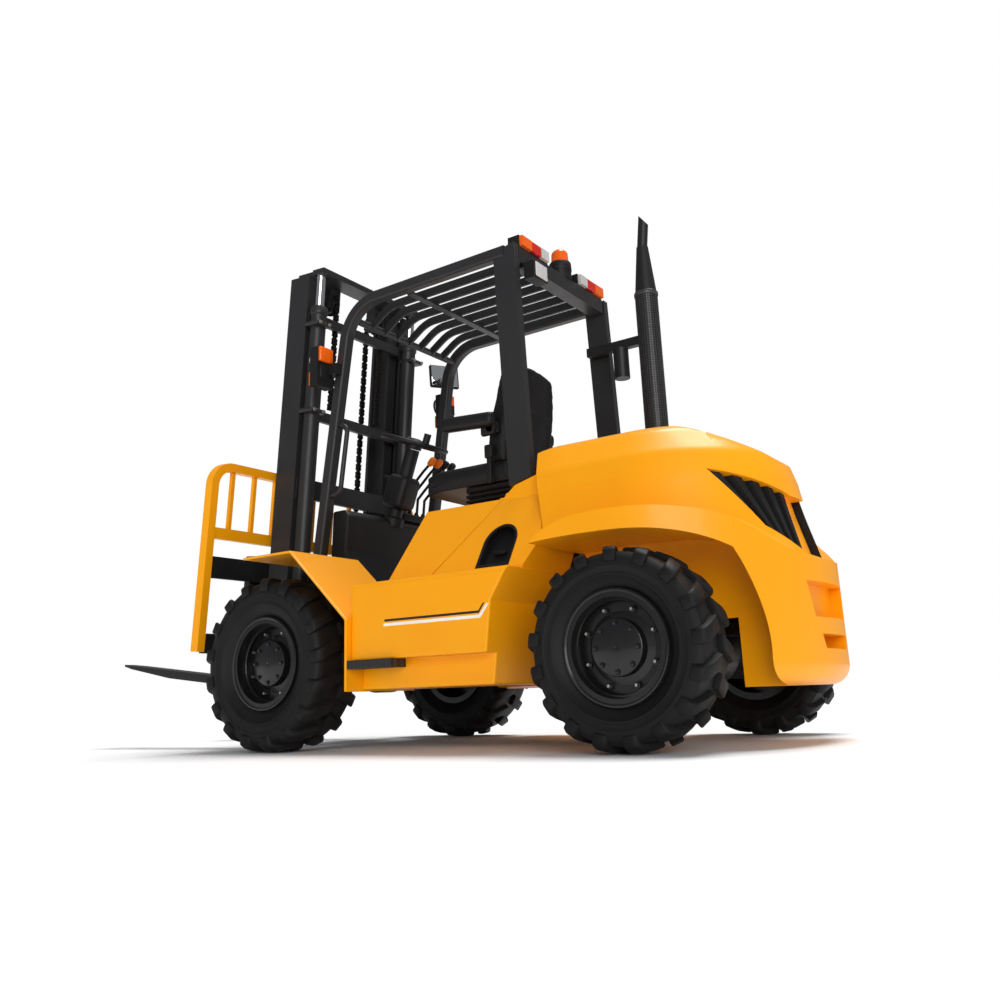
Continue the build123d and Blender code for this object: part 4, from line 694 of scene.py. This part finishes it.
# %% Hubs, rims and nuts
HUB_COVER = [(0, 86), (7, 86), (10, 89), (102, 89), (107, 86), (109, 80), (109, 40), (0, 40)]
DISC_RING = [(189, 60), (178, 66), (174, 74), (177, 78), (190, 76), (189, 60)]
STUD = [(0, 26), (6, 26), (7, 24), (7, 10), (0, 10)]
LIP = [(213, -8), (222, -5), (223, 0), (220, 5), (214, 6), (208, 2), (206, -6), (213, -8)]
NUT_COUNT = 8
COVER_BOLT_SPOT = (91, 0, 88)
NUT_SPOT = (152, 0, 37)
for end, station, track, radius, width, bead, face in WHEELS:
    for hand, side in SIDES:
        axle = facing(at(station, side * track, radius), (0, side, 0))
        bm = bmesh.new()
        lathe(bm, axle, HUB_COVER, 64)
        lathe(bm, axle, [(r, face + out) for r, out in LIP], 96)
        lathe(bm, axle, DISC_RING, 96)
        for index in range(NUT_COUNT):
            bolt(bm, axle @ turn("Z", 360 / NUT_COUNT * index) @ shift(*COVER_BOLT_SPOT), 9, 9)
            seat = axle @ turn("Z", 360 / NUT_COUNT * (index + 0.5)) @ shift(*NUT_SPOT)
            bolt(bm, seat, 13, 16)
            lathe(bm, seat, STUD, 12, 1)
        hub = piece(f"{end}_hub_{hand}", bm, [rim_enamel, zinc_steel], f"{end}_wheel_{hand}")

# %% [markdown]
# ## The seat
# A suspension seat: a crowned cushion between two bolsters, a back that narrows to the top, two folding
# armrests and a rubber bellows that hides the springs. Foam under vinyl swells between its seams, which is
# what a cloth simulation with air pressure does. The shape starts a little small, is remeshed into even
# cells, blown up for twenty frames while its foot and its seams are held, and no point may travel further
# than foam would.

# %% Tools that blow up a cushion
CELL = 6.6
PRESSURE = 4
BLOW_FRAMES = 20
FOAM_TRAVEL = 22


def settle(made):
    ready = bpy.context.evaluated_depsgraph_get()
    settled = bpy.data.meshes.new_from_object(made.evaluated_get(ready))
    made.modifiers.clear()
    made.data = settled


def blow(made, holds):
    before = [vert.co.copy() for vert in made.data.vertices]
    group = made.vertex_groups.new(name="held")
    for index, spot in enumerate(before):
        group.add([index], 1.0 if holds(spot) else 0.0, "REPLACE")
    cloth = made.modifiers.new("air", "CLOTH")
    cloth.settings.quality = 3
    cloth.settings.use_pressure = True
    cloth.settings.uniform_pressure_force = PRESSURE
    cloth.settings.effector_weights.gravity = 0
    cloth.settings.vertex_group_mass = "held"
    cloth.point_cache.frame_start = 1
    cloth.point_cache.frame_end = BLOW_FRAMES
    for step in range(1, BLOW_FRAMES + 1):
        bpy.context.scene.frame_set(step)
    settle(made)
    made.vertex_groups.clear()
    bpy.context.scene.frame_set(1)
    for vert, spot in zip(made.data.vertices, before):
        move = vert.co - spot
        if move.length > FOAM_TRAVEL * MM:
            vert.co = spot + move.normalized() * FOAM_TRAVEL * MM


def puffed(name, bm, holds):
    bmesh.ops.recalc_face_normals(bm, faces=bm.faces)
    rough = bpy.data.meshes.new(name + "_rough")
    bm.to_mesh(rough)
    bm.free()
    made = new_object(name, rough)
    grid = made.modifiers.new("even_cells", "REMESH")
    grid.mode = "VOXEL"
    grid.voxel_size = CELL * MM
    settle(made)
    blow(made, holds)
    for face in made.data.polygons:
        face.use_smooth = True
    made.data.materials.clear()
    made.data.materials.append(seat_vinyl)
    fine = made.modifiers.new("fine", "SUBSURF")
    fine.levels = 1
    fine.render_levels = 1
    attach(made, "hood")
    print(f"{name}: {len(made.data.polygons)} cells")
    return made


print("cells of", CELL, "mm, blown up for", BLOW_FRAMES, "frames")

# %% [markdown]
# The cushion is a subdivided cube whose points are moved. Its nose rolls down over the front edge, the
# bolsters stand higher than the middle, and two seams run from the rear to the nose. The simulation holds
# the seams, so the foam swells between them.

# %% Cushion
SEAM_HALF = 7
CUSHION_SEAM = 165
CUSHION_REAR = 842
CUSHION_LENGTH = 512
CUSHION_FOOT = 1267
CUSHION_HELD = 1285
CUSHION_EDGE = 94
CUSHION_HALF = 236
MIDDLE_CROWN = 18
BOLSTER_RISE = 26
NOSE_START = 0.8
NOSE_DROP = 16
NOSE_TAPER = 8
REAR_TAPER = 22
CUTS = 15


def shaped(warp):
    bm = bmesh.new()
    bmesh.ops.create_cube(bm, size=1)
    bmesh.ops.subdivide_edges(bm, edges=bm.edges[:], cuts=CUTS, use_grid_fill=True)
    for vert in bm.verts:
        vert.co = warp(vert.co.x, vert.co.y, vert.co.z)
    return bm


def cushion_spot(x, y, z):
    across = abs(y) * 2
    along = x + 0.5
    middle = MIDDLE_CROWN * (1 - (2 * x) ** 4) * max(0, 1 - (across / 0.66) ** 4)
    crown = middle + BOLSTER_RISE * max(0, 1 - abs(across - 0.84) / 0.2)
    nose = max(0, along - NOSE_START) / (1 - NOSE_START)
    top = CUSHION_FOOT + (z + 0.5) * (CUSHION_EDGE + crown) - NOSE_DROP * nose ** 2
    half = CUSHION_HALF - REAR_TAPER * max(0, 0.35 - along) - NOSE_TAPER * nose ** 2
    return at(CUSHION_REAR + CUSHION_LENGTH * along, 2 * y * half, top)


def cushion_holds(spot):
    return spot.z < CUSHION_HELD * MM or abs(abs(spot.y) - CUSHION_SEAM * MM) < SEAM_HALF * MM


cushion = puffed("seat_cushion_vinyl", shaped(cushion_spot), cushion_holds)
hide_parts("seat_cushion")

# %% [markdown]
# The back is made in the same way. It leans, thins and narrows towards a rounded top, has a belly for the
# loins, and its bolsters fade out upwards. A cross seam parts the headrest from the rest.

# %% Back
BACK_SEAM = 155
BACK_CROSS_SEAM = 1660
CROSS_SEAM_HALF = 6
BACK_FOOT = 1372
BACK_HEIGHT = 530
BACK_REAR = 862
BACK_HALF = 228
BACK_LEAN = 0.105
BACK_THICK = 104
BACK_THINNING = 34
BACK_BOLSTER = 34
BACK_BELLY = 20
TOP_ROUNDING = 30
TOP_TAPER = 40
FOOT_TAPER = 10
FRONT_INSET = 14


def back_spot(x, y, z):
    up = z + 0.5
    half = BACK_HALF - TOP_TAPER * max(0, up - 0.55) ** 2 / 0.2 - FOOT_TAPER * (1 - up)
    rise = BACK_FOOT + BACK_HEIGHT * up
    lean = BACK_LEAN * (rise - BACK_FOOT)
    bolster = BACK_BOLSTER * max(0, 1 - abs(abs(2 * y) - 0.82) / 0.22) * (1 - 0.6 * up)
    belly = BACK_BELLY * max(0, 1 - ((up - 0.3) / 0.3) ** 2)
    front = (x + 0.5) * (BACK_THICK - BACK_THINNING * up + bolster + belly)
    round_top = TOP_ROUNDING * max(0, up - 0.86) / 0.14 * (2 * abs(y)) ** 2
    return at(BACK_REAR - lean + front - FRONT_INSET * (x + 0.5), 2 * y * half, rise - round_top)


def back_holds(spot):
    along_seam = abs(abs(spot.y) - BACK_SEAM * MM) < SEAM_HALF * MM
    return along_seam or abs(spot.z - BACK_CROSS_SEAM * MM) < CROSS_SEAM_HALF * MM


back = puffed("seat_back_vinyl", shaped(back_spot), back_holds)
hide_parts("seat_back")

# %% [markdown]
# Armrests fold on a pin at the back's side. Each is a rounded slab of foam rubber on a plate; the belt's
# buckle sits on a short stalk beside the cushion. The left side is drawn and then mirrored.

# %% Armrests and buckles
ARMREST_PAD = (1040, 283, 1588)
PAD_SIZE = (330, 64, 78)
PAD_TILT = -4
PIN_SPOT = (905, 246, 1540)
ARMREST_PIN = [(0, 0), (26, 0), (28, 3), (28, 34), (25, 37), (0, 37)]
ARMREST_PLATES = [
    # middle as station, distance from the middle and height, then size, rounding
    ((925, 268, 1560), (84, 30, 120), 12),
    ((905, 240, 1540), (60, 40, 60), 8),
    # stalk and buckle
    ((930, 262, 1330), (26, 14, 150), 5),
    ((930, 262, 1420), (46, 24, 70), 8),
]
bm = bmesh.new()
slab(bm, stand(*ARMREST_PAD) @ turn("Y", PAD_TILT), PAD_SIZE, 28, 0, 5)
lathe(bm, facing(at(*PIN_SPOT), ACROSS), ARMREST_PIN, 32, 1)
for middle, size, rounding in ARMREST_PLATES:
    slab(bm, stand(*middle), size, rounding, 1)
mirrored(bm)
arms = piece("seat_armrests", bm, [seat_vinyl, black_plastic], "hood")

# %% [markdown]
# The bellows is a stack of rounded rectangles, wide and narrow in turn, bridged one to the next. Each
# corner of an outline is drawn as a quarter circle.

# %% Bellows
FOLDS = 5
FOLD_PITCH = 26
FOLD_DEPTH = 16
BELLOWS_REAR = 802
BELLOWS_FRONT = 1136
BELLOWS_HALF = 213
BELLOWS_FOOT = 1114
CORNER = 40
CORNER_STEPS = 6


def rounded_outline(bm, inset, height):
    low = BELLOWS_REAR + inset + CORNER
    high = BELLOWS_FRONT - inset - CORNER
    reach = BELLOWS_HALF - inset - CORNER
    spots = []
    for x, y, first in ((high, reach, 0), (low, reach, 90), (low, -reach, 180), (high, -reach, 270)):
        for step in range(CORNER_STEPS + 1):
            angle = radians(first + 90 * step / CORNER_STEPS)
            spots.append(bm.verts.new(at(x + CORNER * cos(angle), y + CORNER * sin(angle), height)))
    return ring(bm, spots)


bm = bmesh.new()
rings = [rounded_outline(bm, -2, BELLOWS_FOOT - 8)]
for fold in range(FOLDS):
    foot = BELLOWS_FOOT + fold * FOLD_PITCH
    for inset, rise in ((0, 0), (0, 8), (FOLD_DEPTH, 16)):
        rings.append(rounded_outline(bm, inset, foot + rise))
for rise in (0, 18):
    rings.append(rounded_outline(bm, 2, BELLOWS_FOOT + FOLDS * FOLD_PITCH + rise))
skin(bm, rings, 0, -1)
bellows = piece("seat_bellows", bm, [bellows_rubber], "hood", 50)
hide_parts("seat_base")

# %% [markdown]
# ## The cover behind the seat
# A folded sheet closes the engine bay between the hood and the counterweight. Stamped louvres let the
# radiator's warm air out. The sheet is one bent section, drawn across the truck; each louvre is a low slab
# with rounded edges.

# %% Radiator cover
COVER_HALF = 338
COVER_SHEET = 5
COVER_BENDS = [(523, 1188), (630, 1157), (682, 1110)]
LOUVRE_SIZE = (20, 120, 10)
LOUVRE_TILT = 30.32
LOUVRE_ROWS = [(546, 1182), (576, 1173.3), (606, 1164.6)]
LOUVRE_COLUMNS = (-225, -75, 75, 225)
section = COVER_BENDS + [(x, z - COVER_SHEET) for x, z in reversed(COVER_BENDS)]
bm = bmesh.new()
prism(bm, [at(x, -COVER_HALF, z) for x, z in section], ACROSS * 2 * COVER_HALF * MM)
for station, height in LOUVRE_ROWS:
    for y in LOUVRE_COLUMNS:
        slab(bm, stand(station, y, height) @ turn("Y", LOUVRE_TILT), LOUVRE_SIZE, 4)
cover = piece("radiator_cover", bm, [black_enamel], "chassis")

# %% [markdown]
# ## The exhaust stack's guard
# A driver could touch the hot pipe, so a perforated sleeve stands off it. It starts as a tube of even
# cells. Every cell is inset, its middle is deleted, and the sheet that is left gets a thickness. Two rolled
# bands close its ends. The real holes are about 8 mm; so are these.

# %% Stack guard
STACK_FOOT = (303, -392, 1342)
SLEEVE_RADIUS = 61.5
SLEEVE_LENGTH = 980
SLEEVE_SHEET = 1.6
HOLE_MARGIN = 2.9
HOLE_ROWS = 70
HOLE_COLUMNS = 28
BAND = [(57, 0), (63, 0), (65, 3), (65, 19), (63, 22), (57, 22)]
BAND_FEET = (-4, SLEEVE_LENGTH - 18)
bm = bmesh.new()
upright = facing(at(*STACK_FOOT), UP)
sleeve = [(SLEEVE_RADIUS, SLEEVE_LENGTH * row / HOLE_ROWS) for row in range(HOLE_ROWS + 1)]
lathe(bm, upright, sleeve, HOLE_COLUMNS)
bmesh.ops.remove_doubles(bm, verts=bm.verts, dist=1e-6)
cells = bm.faces[:]
bmesh.ops.inset_individual(bm, faces=cells, thickness=HOLE_MARGIN * MM)
bmesh.ops.delete(bm, geom=cells, context="FACES")
bmesh.ops.recalc_face_normals(bm, faces=bm.faces)
bmesh.ops.solidify(bm, geom=bm.faces[:], thickness=SLEEVE_SHEET * MM)
for foot in BAND_FEET:
    lathe(bm, upright, [(radius, foot + along) for radius, along in BAND], 48)
guard = piece("stack_guard", bm, [heat_enamel], "chassis", 50)

# %% [markdown]
# ## Leaf chains
# A lift chain is a stack of flat plates on pins: three plates, then two between them, 25.4 mm from pin to
# pin. One plate is an outline with two round ends and a waist, lifted to its thickness.

# %% Chain plates
CHAIN_PITCH = 25.4
PLATE_END = 10.5
PLATE_TIP = 10
TIP_INSET = 1
PLATE_WAIST = 6.5
PLATE_THICK = 6
PLATE_ROWS = [(-8, 8), (-15, 0, 15)]
PIN_LENGTH = 38
PIN_RADIUS = 4.5


def plate_outline(here, there, y):
    direction = (mast_at(there[0], y, there[1]) - mast_at(here[0], y, here[1])).normalized()
    middle = mast_at((here[0] + there[0]) / 2, y, (here[1] + there[1]) / 2)
    out = direction.cross(ACROSS)
    outline = []
    for end in (1, -1):
        for angle in (-60, 0, 60):
            reach = end * (CHAIN_PITCH / 2 + PLATE_TIP * cos(radians(angle)) - TIP_INSET)
            rise = end * PLATE_END * sin(radians(angle))
            outline.append(middle + direction * reach * MM + out * rise * MM)
        outline.append(middle + out * end * PLATE_WAIST * MM)
    return outline


def chain(bm, path, y):
    for index, (here, there) in enumerate(zip(path, path[1:])):
        for offset in PLATE_ROWS[index % 2]:
            side = ACROSS * (offset - PLATE_THICK / 2) * MM
            prism(bm, [spot + side for spot in plate_outline(here, there, y)], ACROSS * PLATE_THICK * MM)
        bmesh.ops.create_cone(
            bm, cap_ends=True, segments=8, radius1=PIN_RADIUS * MM, radius2=PIN_RADIUS * MM,
            depth=PIN_LENGTH * MM, matrix=facing(mast_at(here[0], y, here[1]), ACROSS),
        )


print("chain tools ready")

# %% [markdown]
# The path of a chain is a row of points one pitch apart: up in front of the sheave and over it for the
# load, down behind it to the anchor on the outer mast.

# %% Chains
SHEAVE = (157, 2123)
CHAIN_RADIUS = 60.3
CHAIN_HALF = 200
LOAD_HOLD = 330
LOAD_FOOT = 345
LOAD_PINS = 71
ANCHOR_HOLD = 1440
ANCHOR_PINS = 27
WRAP_STEP = 24
front = SHEAVE[0] + CHAIN_RADIUS
rear = SHEAVE[0] - CHAIN_RADIUS
run = [(front, LOAD_FOOT + CHAIN_PITCH * step) for step in range(LOAD_PINS)]
wrap = [
    (SHEAVE[0] + CHAIN_RADIUS * cos(radians(angle)), SHEAVE[1] + CHAIN_RADIUS * sin(radians(angle)))
    for angle in range(0, 181, WRAP_STEP)
]
fall = [(rear, SHEAVE[1] - CHAIN_PITCH * step) for step in range(ANCHOR_PINS)]
CHAINS = [
    # chain, path, the two bodies that it joins, and the places where each takes hold
    ("load_chain", run + wrap, "inner_mast", "carriage", (front, SHEAVE[1]), (front, LOAD_HOLD)),
    ("anchor_chain", fall, "outer_mast", "inner_mast", (rear, ANCHOR_HOLD), (rear, SHEAVE[1])),
]
for name, path, body, other, body_spot, other_spot in CHAINS:
    bm = bmesh.new()
    for y in (-CHAIN_HALF, CHAIN_HALF):
        chain(bm, path, y)
    plates = piece(f"{name}_plates", bm, [chain_steel], None, 30)
    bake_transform(plates)
    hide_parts(f"{name}s")

# %% [markdown]
# ## Fittings on the mast
# Each lift cylinder ends in a gland nut, and rounded clamp plates hold it to the rail. The plates are slabs
# with wide radii; the glands are turned.

# %% Glands and clamps
CYLINDER_Y = 405
CYLINDER_AHEAD = 30
GLAND_FOOT = 1962
GLAND = [(31, 6), (47, 6), (52, 12), (52, 46), (48, 52), (40, 52), (38, 60), (31, 60), (31, 6)]
CLAMP_HEIGHTS = (1390, 1905)
CLAMP_SIZE = (112, 118, 26)
CLAMP_AHEAD = 16
CLAMP_Y = CYLINDER_Y * 1.035
CLAMP_BOLT_AHEAD = -42
CLAMP_BOLT_HALF = 36
bm = bmesh.new()
lean = Matrix.Rotation(-MAST_LEAN, 4, "Y")
along_mast = mast_at(0, 0, GLAND_FOOT) - mast_at(0, 0, 0)
for side in (-1, 1):
    lathe(bm, facing(mast_at(CYLINDER_AHEAD, side * CYLINDER_Y, GLAND_FOOT), along_mast), GLAND, 40)
    for along in CLAMP_HEIGHTS:
        middle = mast_at(CLAMP_AHEAD, side * CLAMP_Y, along)
        slab(bm, Matrix.Translation(middle) @ lean, CLAMP_SIZE, 12, 0, 4)
        for step in (-CLAMP_BOLT_HALF, CLAMP_BOLT_HALF):
            seat = mast_at(CLAMP_BOLT_AHEAD, side * CLAMP_Y + step, along)
            bolt(bm, facing(seat, (-1, 0, 0)), 8, 9, 1)
clamps = piece("cylinder_clamps", bm, [charcoal_enamel, zinc_steel], "outer_mast")

# %% [markdown]
# ## Stripe on the side
# A white film runs along the tank's side and turns up in front of the rear wheel. The thin dark line above
# it is painted shadow, the shade along the top of a crease. A flat outline is lifted to a little over a
# millimetre: thicker than film, so that it stands clear of the paint.

# %% Stripe
STRIPE_Y = 849.2
STRIPE_THICK = 1.4
STRIPES = [
    # outline as stations and heights, slot
    ([(1123, 540), (1123, 553), (603, 553), (564, 597), (551, 597), (597, 540)], 0),
    # the thin dark line: painted shadow along the top of the crease
    ([(1118, 560), (1118, 570), (606, 570), (582, 600), (574, 600), (603, 560)], 1),
]
bm = bmesh.new()
for outline, slot in STRIPES:
    prism(bm, [at(x, STRIPE_Y, z) for x, z in outline], ACROSS * STRIPE_THICK * MM, slot)
mirrored(bm)
# The dark outline in this piece is painted shadow along the crease, not film.
piece("side_stripe_and_painted_shadow", bm, [white_film, crease_shadow_paint], "chassis")

# %% [markdown]
# ## The niche in the side panel
# An arched pocket with a black plastic liner holds the latch of the hood. The same arch is drawn five
# times, from the outside of the liner's frame to the floor of the pocket, and bridged from one to the next.
# The panel slopes, so panel_y() gives its place at a height.

# %% Niche liners
NICHE_STATION = 625
NICHE_SPRING = 880
LATCH_EDGE = 835
LATCH_SETBACK = 26
LATCH_HEIGHT = 832
LATCH_SIZE = (64, 22, 20)
PANEL_FOOT = (719, 760)
PANEL_HEAD = (508, 1097)
NICHE_RINGS = [
    # half width, foot, distance out from the panel
    (88, 765, 0.5),
    (86, 767, 4),
    (77, 775, 4),
    (74, 778, 0),
    (72, 780, -38),
]


def panel_y(z):
    foot_y, foot_z = PANEL_FOOT
    head_y, head_z = PANEL_HEAD
    return foot_y - (z - foot_z) * (foot_y - head_y) / (head_z - foot_z)


def arch(bm, half, foot, out):
    spots = [(NICHE_STATION + half, foot), (NICHE_STATION + half, NICHE_SPRING)]
    for degrees in range(10, 180, 10):
        angle = radians(degrees)
        spots.append((NICHE_STATION + half * cos(angle), NICHE_SPRING + half * sin(angle)))
    spots += [(NICHE_STATION - half, NICHE_SPRING), (NICHE_STATION - half, foot)]
    return ring(bm, [bm.verts.new(at(x, panel_y(z) + out, z)) for x, z in spots])


bm = bmesh.new()
skin(bm, [arch(bm, *row) for row in NICHE_RINGS], -1)
slab(bm, stand(NICHE_STATION, panel_y(LATCH_EDGE) - LATCH_SETBACK, LATCH_HEIGHT), LATCH_SIZE, 7)
mirrored(bm)
# The liner's colour is black plastic darkened further as painted shade inside the pocket.
niche = piece("niche_liners", bm, [liner_plastic_and_painted_shade], "chassis")

# %% [markdown]
# ## The mirror
# The mirror is a rounded shell with glass let into its rear face, on a bent arm of round bar.

# %% Mirror
MIRROR = (1838, -572, 2240)
MIRROR_TURN = -34
MIRROR_TILT = 8
SHELL_SIZE = (28, 196, 160)
GLASS_SIZE = (8, 176, 140)
GLASS_AHEAD = -12
ARM_BEND = (1838, -572, 2120)
ARM_FOOT = (1733, -491, 2080)
bm = bmesh.new()
mirror_place = stand(*MIRROR) @ turn("Z", MIRROR_TURN) @ turn("Y", MIRROR_TILT)
slab(bm, mirror_place, SHELL_SIZE, 13, 0, 4)
slab(bm, mirror_place @ shift(GLASS_AHEAD, 0, 0), GLASS_SIZE, 3, 1, 2)
for here, there in ((at(*MIRROR), at(*ARM_BEND)), (at(*ARM_BEND), at(*ARM_FOOT))):
    reach = (there - here).length / MM
    lathe(bm, facing(here, there - here), [(0, -8), (9, -6), (9, reach + 6), (0, reach + 8)], 16)
shell = piece("mirror_shell", bm, [black_plastic, mirror_glass], "chassis")
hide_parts("mirror")

# %% [markdown]
# ## Lamps and beacon
# The lamps get their glass: a bezel and a domed lens on the headlamps, a flat one on the work lamp, an
# amber signal that also shows to the rear, and a dome that closes the beacon. A dome is a lathe profile
# along a quarter circle.

# %% Lamps and beacon
BEZEL = [(46, -4), (56, -4), (58, 0), (57, 6), (50, 8), (46, 4)]
BEACON_CUP = [(50, 0), (60, 0), (61, 4), (59, 44), (56, 50), (48, 52)]
BEACON = (640, -60)
BEACON_FOOT = 2430
BEACON_TOP = 2528
LAMP_Y = 553
HEADLAMP = (1866, 2035)
SIGNAL_PLATES = [
    # station, height, size, rounding, slot: the amber glass and the plate below it
    (1790, 2060, (22, 100, 84), 8, 1),
    (1797, 1960, (16, 76, 70), 6, 0),
]
WORK_LAMP = (370, 2238)
WORK_LAMP_PLATES = [
    # station, size, rounding, slot: the frame and its glass
    (512, (16, 124, 94), 6, 0),
    (507, (14, 106, 76), 5, 2),
]


def dome(radius, height):
    return [(radius * cos(radians(angle)), height * sin(radians(angle))) for angle in range(0, 91, 15)]


bm = bmesh.new()
for y in (-LAMP_Y, LAMP_Y):
    lamp_face = facing(at(HEADLAMP[0], y, HEADLAMP[1]), (1, 0, 0))
    lathe(bm, lamp_face, BEZEL, 40)
    lathe(bm, lamp_face, dome(46, 16), 40, 2)
    for station, height, size, rounding, slot in SIGNAL_PLATES:
        slab(bm, stand(station, y, height), size, rounding, slot)
for station, size, rounding, slot in WORK_LAMP_PLATES:
    slab(bm, stand(station, *WORK_LAMP), size, rounding, slot)
lathe(bm, facing(at(*BEACON, BEACON_TOP), UP), dome(45, 34), 40, 1)
lathe(bm, facing(at(*BEACON, BEACON_FOOT), UP), BEACON_CUP, 40)
lamps = piece("lamp_glasses", bm, [black_plastic, amber_acrylic, clear_acrylic], "chassis")

# %% [markdown]
# ## The driver's controls
# Four bent levers rise from a plate on the cowl. Each is a row of straight rods with balls in the bends, a
# rubber boot at its foot and a rounded knob; two knobs are orange so that a hand finds them. A moulded
# shroud covers the steering column, with the direction lever at its side.

# %% Levers and shroud
LEVER_COUNT = 4
LEVER_FIRST = -300
LEVER_PITCH = 62
LEVER_RADIUS = 8
LEVER_PLATE = (1815, -207, 1244)
PLATE_SIZE = (96, 272, 44)
LEVER_BENDS = [(1815, 1245), (1800, 1375), (1655, 1500), (1590, 1548)]
KNOB = [(0, -30), (12, -30), (17, -22), (21, 0), (20, 16), (13, 25), (0, 28)]
BOOT = [(8, 40), (20, 12), (24, 4), (8, 4)]
COLUMN_HEAD = (WHEELBASE - 245, 0, 1640)
COLUMN_AXIS = (-0.358, 0, 0.934)
SHROUD = [(0, -482), (62, -482), (60, -440), (42, -428), (40, -36), (0, -36)]
SHROUD_SIZE = (150, 150, 190)
SHROUD_DROP = -290
DIRECTION_LEVER = (0, 96, -230)
DIRECTION_LEVER_SIZE = (26, 120, 24)


def rod(bm, here, there, radius):
    reach = (there - here).length / MM
    lathe(bm, facing(here, there - here), [(0, 0), (radius, 0), (radius, reach), (0, reach)], 16)
    bmesh.ops.create_uvsphere(
        bm, u_segments=16, v_segments=8, radius=radius * MM, matrix=Matrix.Translation(there)
    )


bm = bmesh.new()
slab(bm, stand(*LEVER_PLATE), PLATE_SIZE, 8)
for index in range(LEVER_COUNT):
    bends = [at(x, LEVER_FIRST + LEVER_PITCH * index, z) for x, z in LEVER_BENDS]
    for here, there in zip(bends, bends[1:]):
        rod(bm, here, there, LEVER_RADIUS)
    lathe(bm, facing(bends[0], UP) @ shift(0, 0, 12), BOOT, 24)
    lathe(bm, facing(bends[3], bends[3] - bends[2]), KNOB, 24, 1 if index > 1 else 0)
column = facing(at(*COLUMN_HEAD), COLUMN_AXIS)
lathe(bm, column, SHROUD, 32)
slab(bm, column @ shift(0, 0, SHROUD_DROP), SHROUD_SIZE, 34, 0, 5)
slab(bm, column @ shift(*DIRECTION_LEVER), DIRECTION_LEVER_SIZE, 9)
controls = piece("levers_and_column", bm, [black_plastic, orange_plastic], "chassis")
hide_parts("dash_controls")

# %% [markdown]
# A boss with a cap closes the steering wheel's middle. It is turned on the column's line and rides on the
# wheel.

# %% Steering boss
BOSS = [(0, 30), (20, 30), (42, 24), (52, 12), (54, -4), (40, -8), (0, -8)]
bm = bmesh.new()
lathe(bm, column, BOSS, 40)
boss = piece("steering_boss", bm, [black_plastic], "steering_wheel")
